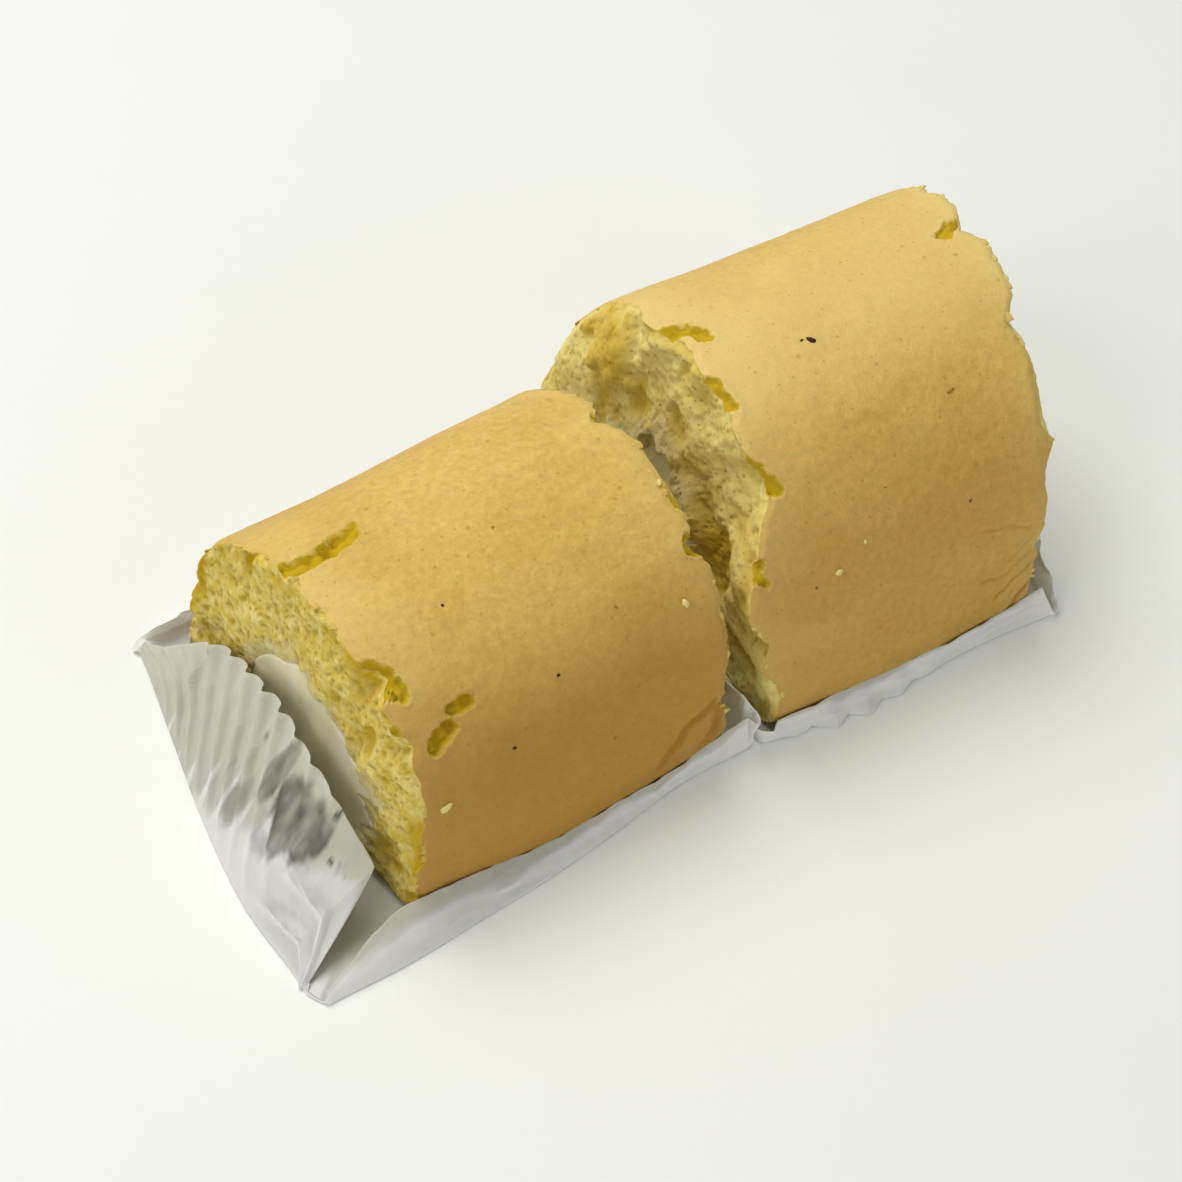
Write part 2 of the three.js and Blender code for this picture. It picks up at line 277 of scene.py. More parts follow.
@dataclass(frozen=True)
class Tear(Mark):
    """A torn crack in the skin, with a wandering line, nicked sides, a lumpy bottom and curled lips."""

    WANDER = 0.65
    BEND = 2.1
    NICK = 0.4
    NICK_STEP = 1.2
    LUMPS = Lumps(0.26, 1.4, 2)
    JAGGED_START = 40.0
    HOLE = (1.08, 0.86)
    BARE = (1.2, 1.05)
    BOTTOM = 0.75
    BOTTOM_LUMPS = Lumps(0.35, 1.2, 2)
    LIP = 0.16
    LIP_AT = 1.2
    LIP_WIDE = 0.2

    def opened(self, grid: SkinGrid, seed: float, number: int) -> tuple[Array, Array, Array]:
        """Opens the skin along the tear.

        Args:
            grid: the places of the skin's vertices.
            seed: the slice's seed.
            number: which of the slice's tears this is.

        Returns:
            How deep it is, how high its lips curl and how much of it is bare crumb, the last from 0 to 1.
        """
        a, b, long = grid.along_mark(self)
        wander = self.WANDER * self.wide * (jagged(a / self.BEND + self.JAGGED_START, seed + number) - 0.5)
        nicks = self.NICK * (jagged(a / self.NICK_STEP + self.JAGGED_START, number) - 0.5)
        rough = nicks + self.LUMPS.at(grid.x, grid.arc, number)
        reach = np.hypot(np.square(2 * a / long), 2 * (b + wander) / self.wide) * (1.0 + rough)
        bottom = self.BOTTOM + self.BOTTOM_LUMPS.at(grid.x, grid.arc, seed + 60 + number)
        pit = self.deep * ease(*self.HOLE, reach) * bottom
        return pit, self.LIP * bell((reach - self.LIP_AT) / self.LIP_WIDE), ease(*self.BARE, reach)


@dataclass(frozen=True)
class Crease(Mark):
    """A browned crease in the skin, with a ridge along one side and a faint brown band round it."""

    brown: float

    WANDER = 1.2
    WANDER_STEP = 6.0
    WAVER = 0.3
    WAVER_STEP = 1.6
    FADE = (1.1, 0.7)
    RIDGE = 0.7
    RIDGE_AT = 2.2
    RIDGE_WIDE = 1.6
    LINE_BROWN = 0.8
    BAND_BROWN = 0.45
    BAND = 3.5

    def folded(self, grid: SkinGrid, number: int) -> tuple[Array, Array]:
        """Folds the skin along the crease.

        Args:
            grid: the places of the skin's vertices.
            number: which of the slice's creases this is.

        Returns:
            Height over the plain skin, and how browned it is.
        """
        a, b, long = grid.along_mark(self)
        wander = self.WANDER * uneven(a / self.WANDER_STEP, number, 1.0)
        bent = b + wander + self.WAVER * uneven(a / self.WAVER_STEP, number, 2.0)
        ends = ease(*self.FADE, np.abs(2 * a / long))
        line = bell(bent / self.wide) * ends
        beside = (bent - self.RIDGE_AT * self.wide) / (self.RIDGE_WIDE * self.wide)
        height = self.deep * (self.RIDGE * bell(beside) * ends - line)
        band = self.BAND_BROWN * bell(bent / self.BAND) * ends
        return height, self.brown * (self.LINE_BROWN * line + band)


@dataclass(frozen=True)
class Hollow:
    """A torn hollow in a cut end, at a place of its section; a negative depth is a bulge. Its torn share
    colours it mustard, partly as torn crumb and partly as painted shade.
    """

    cut: Cut
    y: float
    z: float
    wide: float
    tall: float
    deep: float
    torn: float

    RAGGED = Lumps(0.35, 3.0, 2)
    RIM = (1.25, 0.55)

    def share(self, y: Array, z: Array) -> Array:
        """How much of the hollow there is at places of the section, from 0 to 1."""
        far = np.hypot((y - self.y) / self.wide, (z - self.z) / self.tall)
        return ease(*self.RIM, far * (1.0 + self.RAGGED.at(y, z, self.y)))


@dataclass(frozen=True)
class Smear:
    """A stretch of a cut's inner edge where crumb is dragged over the cream.

    It lies at a share of the way round the sheet. reach is a share of the sheet's thickness, and where it is
    negative, cream is dragged over the crumb.
    """

    cut: Cut
    u: float
    wide: float
    reach: float


@dataclass(frozen=True)
class Pores:
    """Round pores of one size in the crumb.

    size is their spacing. The others are shares of it or of their number: the least radius, how much wider
    the widest are, the flat of the bottom, and the share that is shut.
    """

    size: float
    radius: float
    spread: float
    bottom: float
    shut: float

    def pits(self, y: Array, z: Array, seed: float) -> Array:
        """How much of a pit there is at places of the section, from 0 to 1, with pores placed by a seed."""
        near, owner = cells(y / self.size, z / self.size, seed)
        return ease(self.radius + self.spread * owner, self.bottom, near) * (owner > self.shut)


@dataclass(frozen=True)
class Slice:
    """Sizes and form of one slice, shared by its sponge, its cream and its case.

    sheet and base are the sponge over and under the cream. rise makes the right end taller, skew leans the
    roll to the back, and hem is how far the foot of the front bulges at the left cut, the middle and the
    right cut. pale lightens the top of the skin, partly as a painted highlight; tan darkens and browns its
    foot, partly as baked browning and partly as painted shade; crumb_pale_and_painted_light lightens the
    crumb as painted light where it lies in shade.
    lumps scales the crumb's lumps, pore_shade darkens its pores as painted shade and rind is how mustard it
    is under the skin.
    """

    name: str
    at: tuple[float, float]
    turn: float
    seed: float
    length: float
    width: float
    height: float
    shoulder: float
    sheet: float
    base: float
    rise: float
    skew: float
    hem: tuple[float, float, float]
    ends: tuple[End, End]
    notches: tuple[Notch, ...]
    tears: tuple[Tear, ...]
    creases: tuple[Crease, ...]
    hollows: tuple[Hollow, ...] = ()
    pale: float = 0.0
    crumb_pale_and_painted_light: float = 0.0
    smears: tuple[Smear, ...] = ()
    tan: float = 0.38
    lumps: float = 1.0
    pore_shade: float = 0.65
    rind: float = 0.9
    corner: float = 4.5
    floor: float = 0.75
    seam: float = 0.5
    hem_height: float = 3.0
    hem_spread: float = 7.0

    # Shares of the sheet: under the slice, round the foot, up the front, over the top and down the back.
    SHARES = (0.14, 0.07, 0.10, 0.56, 0.13)
    CORNER_TIGHTENS = 0.4
    SWELL = 0.55
    SWELLS_ALONG = 3.0
    SWELLS_ROUND = 12.0
    SWELL_FADE = 6.0
    RELIEF_FADE = 2.0
    FOOT_TALL = 9.0
    BULGE_WIDE = 14.0
    BULGE_TALL = 12.0
    LUMPS = Lumps(0.8, 6.0)
    FINE_LUMPS = Lumps(0.25, 3.0)
    LUMPS_AT_SKIN = 0.4
    LUMPS_PER_DEPTH = 4.0
    NOTCH_BEND = 0.006
    NOTCH_BENDS_ROUND = 160.0
    NOTCH_FADE = 0.3
    DRAG_RAGGED = 0.5
    DRAGS_ROUND = 40.0
    CREAM_UNDER_DRAG = 3.2

    def section(self, u: Number, v: Number) -> tuple[Array, Array]:
        """Section point of the rolled sheet, before it leans and swells.

        Args:
            u: share along the sheet, from its start under the back, round the front and over the top.
            v: depth in from the skin, 1 at the cream.

        Returns:
            y and z.
        """
        u, v = np.broadcast_arrays(np.asarray(u, float), np.asarray(v, float))
        half = self.width / 2 - v * self.sheet
        low = self.floor + v * self.base
        arch = self.height - v * self.sheet - self.shoulder
        turn = self.corner * (1.0 - self.CORNER_TIGHTENS * v)
        edges = np.concatenate([[0.0], np.cumsum(self.SHARES)])
        part = np.clip(np.searchsorted(edges, u - TINY, side="right") - 1, 0, len(self.SHARES) - 1)
        f = np.clip((u - edges[part]) / np.array(self.SHARES)[part], 0.0, 1.0)
        quarter, half_turn = f * math.pi / 2, f * math.pi
        ys = [
            mix(self.width / 2 - self.seam, turn - half, f),
            turn - half - turn * np.sin(quarter),
            -half,
            -half * np.cos(half_turn),
            half,
        ]
        zs = [
            low,
            low + turn * (1.0 - np.cos(quarter)),
            mix(low + turn, self.shoulder, f),
            self.shoulder + arch * np.sin(half_turn),
            mix(self.shoulder, self.floor + self.base + self.seam, f),
        ]
        return np.choose(part, ys), np.choose(part, zs)

    def lean(self, y: Array, z: Array, v: Number, t: Number) -> tuple[Array, Array]:
        """Leans the section to the back, bulges the foot of its front and makes one end taller.

        Args:
            y, z: places in the plain section.
            v: depth in from the skin.
            t: share along the slice.

        Returns:
            The new y and z.
        """
        # The bulge is whole over the front quarter of the width, and ends at the middle.
        front = np.clip(-4.0 * y / self.width, 0.0, 1.0)
        hem = smooth(self.hem, t) * (1.0 - v) * bell((z - self.floor - self.hem_height) / self.hem_spread)
        leaned = y + self.skew * (z - self.floor) / self.height - hem * front
        return leaned, self.floor + (z - self.floor) * (1.0 + self.rise * (2.0 * t - 1.0))

    def surface(self, u: Number, v: Number, t: Number, relief: Number = 0.0) -> tuple[Array, Array]:
        """Section of the finished sheet.

        Args:
            u, v, t: places along, through and across the sheet; t runs from the left cut to the right one.
            relief: height over the plain skin.

        Returns:
            y and z.
        """
        plain_y, plain_z = self.section(u, v)
        y, z = self.lean(plain_y, plain_z, v, t)
        out_z = plain_z - self.shoulder
        size = np.maximum(np.hypot(y, out_z), TINY)
        swollen = np.clip((plain_z - self.floor) / self.SWELL_FADE, 0.0, 1.0)
        lumps = uneven(t * self.SWELLS_ALONG, u * self.SWELLS_ROUND, self.seed)
        swell = self.SWELL * (1.0 - v) * lumps * swollen
        rise = swell + relief * np.clip((plain_z - self.floor) / self.RELIEF_FADE, 0.0, 1.0)
        return y + y / size * rise, z + np.maximum(out_z / size, 0.0) * rise

    def end_place(self, cut: Cut, y: Array, z: Array) -> Array:
        """Place of a cut end along the roll, before its crumb.

        Args:
            cut: which end.
            y, z: places in the section.

        Returns:
            x.
        """
        end = self.ends[cut.value]
        lean = end.per_z * z + end.per_y * y + end.foot * bell(z / self.FOOT_TALL)
        from_front = bell((y + self.width / 2) / self.BULGE_WIDE)
        bulge = end.bulge * from_front * bell((z - self.height / 2) / self.BULGE_TALL)
        return (cut.value - 0.5) * self.length + end.shift + lean + bulge

    def plain_x(self, y: Array, z: Array, t: Number) -> Array:
        """Place along the roll at a share of the way between the ends, before their crumb."""
        return mix(self.end_place(Cut.LEFT, y, z), self.end_place(Cut.RIGHT, y, z), t)

    def skin_point(self, u: float, t: float) -> Array:
        """x, y and z of the plain skin at shares round the sheet and along the slice."""
        y, z = self.surface(u, 0.0, t)
        return np.array([self.plain_x(y, z, t), y, z], float)

    def end_crumb(self, cut: Cut, u: Array, v: Number, y: Array, z: Array) -> Array:
        """How far the lumps of the crumb and the skin's notches draw a cut end inwards.

        Args:
            cut: which end.
            u, v: places along and through the sheet.
            y, z: the same places in the section.

        Returns:
            Millimetres inwards.
        """
        lumps = self.LUMPS.at(y, z, self.seed + 7 * cut.value) + self.FINE_LUMPS.at(y, z, self.seed + 20)
        notches = np.zeros_like(y)
        bent = u + self.NOTCH_BEND * (jagged(u * self.NOTCH_BENDS_ROUND, self.seed) - 0.5)
        for notch in self.notches:
            if notch.cut is cut:
                bite = notch.reach * tooth((bent - notch.u) / notch.wide)
                notches = notches + bite * bell(v / self.NOTCH_FADE)
        return lumps * np.minimum(1.0, self.LUMPS_AT_SKIN + v * self.LUMPS_PER_DEPTH) + notches

    def inner(self, cut: Cut, u: Array) -> Array:
        """Depth of a cut's inner edge.

        Args:
            cut: which end.
            u: shares along the sheet.

        Returns:
            Depths in from the skin, 1 where nothing is smeared.
        """
        edge = np.ones_like(u)
        ragged = 1.0 + self.DRAG_RAGGED * layered(u * self.DRAGS_ROUND, 0.0, self.seed + 85, 2)
        for smear in self.smears:
            if smear.cut is cut:
                edge = edge + smear.reach * bell((u - smear.u) / smear.wide) * ragged
        return edge

    def covered(self, cut: Cut) -> float:
        """How deep the cream lies under the crumb that is dragged over it."""
        return self.CREAM_UNDER_DRAG * max([s.reach for s in self.smears if s.cut is cut], default=0.0)

    def in_row(self, points: Array) -> Array:
        """Moves points from the slice's frame to the row's.

        Args:
            points: places, the last axis being x, y and z.

        Returns:
            The same places in the row frame.
        """
        c, s = math.cos(math.radians(self.turn)), math.sin(math.radians(self.turn))
        x = self.at[0] + c * points[..., 0] - s * points[..., 1]
        y = self.at[1] + s * points[..., 0] + c * points[..., 1]
        return np.stack([x, y, points[..., 2]], -1)


class Body:
    """Collects the vertices, masks and faces of one mesh piece, in millimetres of the row frame."""

    def __init__(self, *masks: str) -> None:
        """Starts an empty body.

        Args:
            masks: names of the values that its finish reads.
        """
        self.points: list[Array] = []
        self.faces: list[list[int]] = []
        self.masks: dict[str, list[Array]] = {mask: [] for mask in masks}
        self.count = 0

    def add(self, points: Array, **masks: Number) -> Array:
        """Adds vertices.

        Args:
            points: their places, the last axis being x, y and z.
            masks: values of the masks; one that is left out is 0.

        Returns:
            The vertices' numbers, in the shape of the points.
        """
        numbers = self.count + np.arange(points[..., 0].size).reshape(points.shape[:-1])
        self.count += numbers.size
        self.points.append(points.reshape(-1, 3))
        for mask, values in self.masks.items():
            values.append(np.broadcast_to(masks.get(mask, 0.0), numbers.shape).ravel())
        return numbers

    def quads(self, numbers: Array) -> None:
        """Adds the quads between the neighbours of a grid of vertex numbers."""
        corners = (numbers[:-1, :-1], numbers[1:, :-1], numbers[1:, 1:], numbers[:-1, 1:])
        self.faces += np.stack(corners, -1).reshape(-1, 4).tolist()

    def polygons(self, numbers: Array) -> None:
        """Adds one polygon for each row of vertex numbers."""
        self.faces += np.atleast_2d(numbers).tolist()

    def piece(
        self, name: str, material: bpy.types.Material, slot: str, replaces: tuple[str, ...] = ()
    ) -> bpy.types.Object:
        """Makes the mesh piece and sets it to ride on the part.

        Args:
            name: the piece's name.
            material: its finish.
            slot: not used.
            replaces: CAD nodes that it stands for.

        Returns:
            The new object.
        """
        mesh = bpy.data.meshes.new(name)
        mesh.from_pydata((np.concatenate(self.points) * MM).tolist(), [], self.faces)
        mesh.update()
        for mask, values in self.masks.items():
            layer = mesh.attributes.new(mask, "FLOAT", "POINT")
            layer.data.foreach_set("value", np.concatenate(values).astype(np.float32))
        mesh.polygons.foreach_set("use_smooth", np.ones(len(mesh.polygons), bool))
        mesh.materials.append(material)
        piece = bpy.data.objects.new(name, mesh)
        bpy.context.scene.collection.objects.link(piece)
        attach(piece, BODY)
        if replaces:
            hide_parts(*replaces)
        log.info("%s: %d vertices, %d faces", name, len(mesh.vertices), len(mesh.polygons))
        return piece


class Nodes:
    """A short way to wire a shader tree."""

    def __init__(self, tree: bpy.types.NodeTree) -> None:
        """Holds the tree to build in."""
        self.tree = tree

    def add(self, kind: str, **values: object) -> bpy.types.Node:
        """Adds a node.

        Args:
            kind: the node's type name.
            values: properties of the node, or inputs by name with spaces as underscores.

        Returns:
            The node.
        """
        node = self.tree.nodes.new(kind)
        for key, value in values.items():
            if hasattr(node, key):
                setattr(node, key, value)
            else:
                self.put(node.inputs[key.replace("_", " ")], value)
        return node

    def put(self, socket: bpy.types.NodeSocket, value: object) -> None:
        """Fills an input.

        Args:
            socket: the input.
            value: a socket to link into it, or its value; a colour may leave out its alpha.
        """
        if isinstance(value, bpy.types.NodeSocket):
            self.tree.links.new(value, socket)
        elif isinstance(value, tuple) and len(value) == 3 and socket.type == "RGBA":
            socket.default_value = (*value, 1.0)
        else:
            socket.default_value = value

    def sum(self, operation: str, a: object, b: object) -> bpy.types.NodeSocket:
        """Adds a Math node.

        Args:
            operation: what it does.
            a, b: its inputs.

        Returns:
            Its result.
        """
        node = self.tree.nodes.new("ShaderNodeMath")
        node.operation = operation
        self.put(node.inputs[0], a)
        self.put(node.inputs[1], b)
        return node.outputs[0]

    def blend(self, share: object, a: object, b: object, way: str = "MIX") -> bpy.types.NodeSocket:
        """Adds a colour Mix node.

        Args:
            share: how much of b there is.
            a, b: the colours.
            way: the blend type.

        Returns:
            Its result.
        """
        node = self.tree.nodes.new("ShaderNodeMix")
        node.data_type, node.blend_type = "RGBA", way
        self.put(node.inputs["Factor"], share)
        self.put(node.inputs[6], a)
        self.put(node.inputs[7], b)
        return node.outputs[2]

    def step(self, value: object, low: float, high: float) -> bpy.types.NodeSocket:
        """Adds a smooth step from 0 to 1.

        Args:
            value: what is stepped.
            low, high: where the step starts and ends.

        Returns:
            Its result.
        """
        node = self.add("ShaderNodeMapRange", interpolation_type="SMOOTHSTEP")
        self.put(node.inputs["Value"], value)
        self.put(node.inputs["From Min"], low)
        self.put(node.inputs["From Max"], high)
        return node.outputs["Result"]

    def mask(self, name: str) -> bpy.types.NodeSocket:
        """A named value of the mesh."""
        return self.add("ShaderNodeAttribute", attribute_name=name).outputs["Fac"]

    def place(self) -> bpy.types.NodeSocket:
        """The place on the piece.

        Returns:
            Its coordinates in millimetres.
        """
        scaled = self.add("ShaderNodeVectorMath", operation="SCALE")
        self.put(scaled.inputs[0], self.add("ShaderNodeTexCoord").outputs["Object"])
        scaled.inputs["Scale"].default_value = 1.0 / MM
        return scaled.outputs[0]


class Effects:
    """Shader groups that several finishes share."""

    @staticmethod
    def _group(name: str, inputs: dict[str, object], outputs: dict[str, str]) -> bpy.types.NodeTree:
        """A new group with named sockets.

        Args:
            name: the group's name.
            inputs: default value by name: None for a place, a tuple for a colour, or a number.
            outputs: socket type by name.

        Returns:
            The group's tree, with only its sockets made.
        """
        tree = bpy.data.node_groups.new(name, "ShaderNodeTree")
        for key, value in inputs.items():
            kind = "Vector" if value is None else "Color" if isinstance(value, tuple) else "Float"
            socket = tree.interface.new_socket(key, in_out="INPUT", socket_type=f"NodeSocket{kind}")
            if value is not None:
                socket.default_value = value
        for key, kind in outputs.items():
            tree.interface.new_socket(key, in_out="OUTPUT", socket_type=f"NodeSocket{kind}")
        return tree

    @classmethod
    def mottle(cls) -> bpy.types.NodeTree:
        """Soft patches of two colours, with a finer grain over them.

        Returns:
            The group's tree.
        """
        grey = (0.5, 0.5, 0.5, 1.0)
        tree = cls._group(
            "mottle",
            {
                "Place": None,
                "Ground": grey,
                "Patch": grey,
                "Patch Size": 8.0,
                "Patch Strength": 0.5,
                "Grain Size": 0.7,
                "Grain Strength": 0.1,
            },
            {"Colour": "Color"},
        )
        n = Nodes(tree)
        given = n.add("NodeGroupInput").outputs
        wide = n.add("ShaderNodeTexNoise", Vector=given["Place"], Detail=4.0, Roughness=0.6)
        n.put(wide.inputs["Scale"], n.sum("DIVIDE", 1.0, given["Patch Size"]))
        fine = n.add("ShaderNodeTexNoise", Vector=given["Place"], Detail=3.0, Roughness=0.7)
        n.put(fine.inputs["Scale"], n.sum("DIVIDE", 1.0, given["Grain Size"]))
        share = n.sum("MULTIPLY", n.step(wide.outputs["Fac"], 0.35, 0.68), given["Patch Strength"])
        patched = n.blend(share, given["Ground"], given["Patch"])
        swing = n.sum("MULTIPLY", n.sum("SUBTRACT", fine.outputs["Fac"], 0.5), given["Grain Strength"])
        level = n.sum("ADD", 1.0, n.sum("MULTIPLY", swing, 2.0))
        tone = n.add("ShaderNodeCombineColor", Red=level, Green=level, Blue=level).outputs[0]
        n.put(n.add("NodeGroupOutput").inputs["Colour"], n.blend(1.0, patched, tone, "MULTIPLY"))
        return tree

    @classmethod
    def specks(cls) -> bpy.types.NodeTree:
        """Small scattered dots, such as burnt specks or pin pores.

        Returns:
            The group's tree.
        """
        tree = cls._group(
            "specks", {"Place": None, "Spacing": 6.0, "Size": 0.1, "Share": 0.3}, {"Mask": "Float"}
        )
        n = Nodes(tree)
        given = n.add("NodeGroupInput").outputs
        bent = n.add("ShaderNodeTexNoise", Vector=given["Place"], Scale=1.4, Detail=1.0)
        moved = n.add("ShaderNodeVectorMath", operation="MULTIPLY_ADD")
        n.put(moved.inputs[0], bent.outputs["Color"])
        moved.inputs[1].default_value = (0.5, 0.5, 0.5)
        n.put(moved.inputs[2], given["Place"])
        dots = n.add("ShaderNodeTexVoronoi", Vector=moved.outputs[0])
        n.put(dots.inputs["Scale"], n.sum("DIVIDE", 1.0, given["Spacing"]))
        picked = n.add("ShaderNodeSeparateColor", Color=dots.outputs["Color"])
        kept = n.sum("LESS_THAN", picked.outputs[0], given["Share"])
        size = n.sum("MULTIPLY", given["Size"], n.sum("ADD", 0.5, picked.outputs[1]))
        dot = n.step(n.sum("DIVIDE", dots.outputs["Distance"], size), 1.0, 0.4)
        n.put(n.add("NodeGroupOutput").inputs["Mask"], n.sum("MULTIPLY", dot, kept))
        return tree

    @classmethod
    def grain(cls) -> bpy.types.NodeTree:
        """Fine roughness of a surface as a height, from two sizes of noise.

        Returns:
            The group's tree.
        """
        tree = cls._group(
            "grain",
            {"Place": None, "Coarse Size": 1.5, "Fine Size": 0.4, "Fine Share": 0.4},
            {"Height": "Float"},
        )
        n = Nodes(tree)
        given = n.add("NodeGroupInput").outputs
        coarse = n.add("ShaderNodeTexNoise", Vector=given["Place"], Detail=2.0)
        n.put(coarse.inputs["Scale"], n.sum("DIVIDE", 1.0, given["Coarse Size"]))
        fine = n.add("ShaderNodeTexNoise", Vector=given["Place"], Detail=2.0)
        n.put(fine.inputs["Scale"], n.sum("DIVIDE", 1.0, given["Fine Size"]))
        low = n.sum("MULTIPLY", coarse.outputs["Fac"], n.sum("SUBTRACT", 1.0, given["Fine Share"]))
        high = n.sum("MULTIPLY", fine.outputs["Fac"], given["Fine Share"])
        n.put(n.add("NodeGroupOutput").inputs["Height"], n.sum("ADD", low, high))
        return tree


@dataclass
class Palette:
    """The shared shader groups, made once, and what every finish does with them."""

    mottle: bpy.types.NodeTree = field(default_factory=Effects.mottle)
    specks: bpy.types.NodeTree = field(default_factory=Effects.specks)
    grain: bpy.types.NodeTree = field(default_factory=Effects.grain)

    def start(self, name: str) -> tuple[bpy.types.Material, Nodes, bpy.types.Node]:
        """A new material.

        Args:
            name: the material's name.

        Returns:
            The material, its wiring and its Principled BSDF.
        """
        material = bpy.data.materials.new(name)
        material.use_nodes = True
        shader = material.node_tree.nodes["Principled BSDF"]
        return material, Nodes(material.node_tree), shader

    def use(self, n: Nodes, group: bpy.types.NodeTree, **values: object) -> bpy.types.NodeSocket:
        """Places a shared group in a material.

        Args:
            n: the material's wiring.
            group: the shared group.
            values: its inputs by name, with spaces as underscores.

        Returns:
            The group's output.
        """
        node = n.add("ShaderNodeGroup", node_tree=group)
        for key, value in values.items():
            n.put(node.inputs[key.replace("_", " ")], value)
        return node.outputs[0]

    def bump(self, n: Nodes, height: bpy.types.NodeSocket, deep: float) -> bpy.types.NodeSocket:
        """Turns a height into a normal.

        Args:
            n: the material's wiring.
            height: the height, from 0 to 1.
            deep: millimetres for a height of 1.

        Returns:
            The normal.
        """
        node = n.add("ShaderNodeBump", Height=height)
        node.inputs["Strength"].default_value = 1.0
        node.inputs["Distance"].default_value = deep * MM
        return node.outputs["Normal"]

    def soften(self, shader: bpy.types.Node, weight: float, radius: Colour, depth: float) -> None:
        """Lets light sink into a finish.

        Args:
            shader: the finish's Principled BSDF.
            weight: how much of the light sinks in.
            radius: how far each colour spreads, as a share of the depth.
            depth: the depth in millimetres.
        """
        shader.inputs["Subsurface Weight"].default_value = weight
        shader.inputs["Subsurface Radius"].default_value = radius
        shader.inputs["Subsurface Scale"].default_value = depth * MM


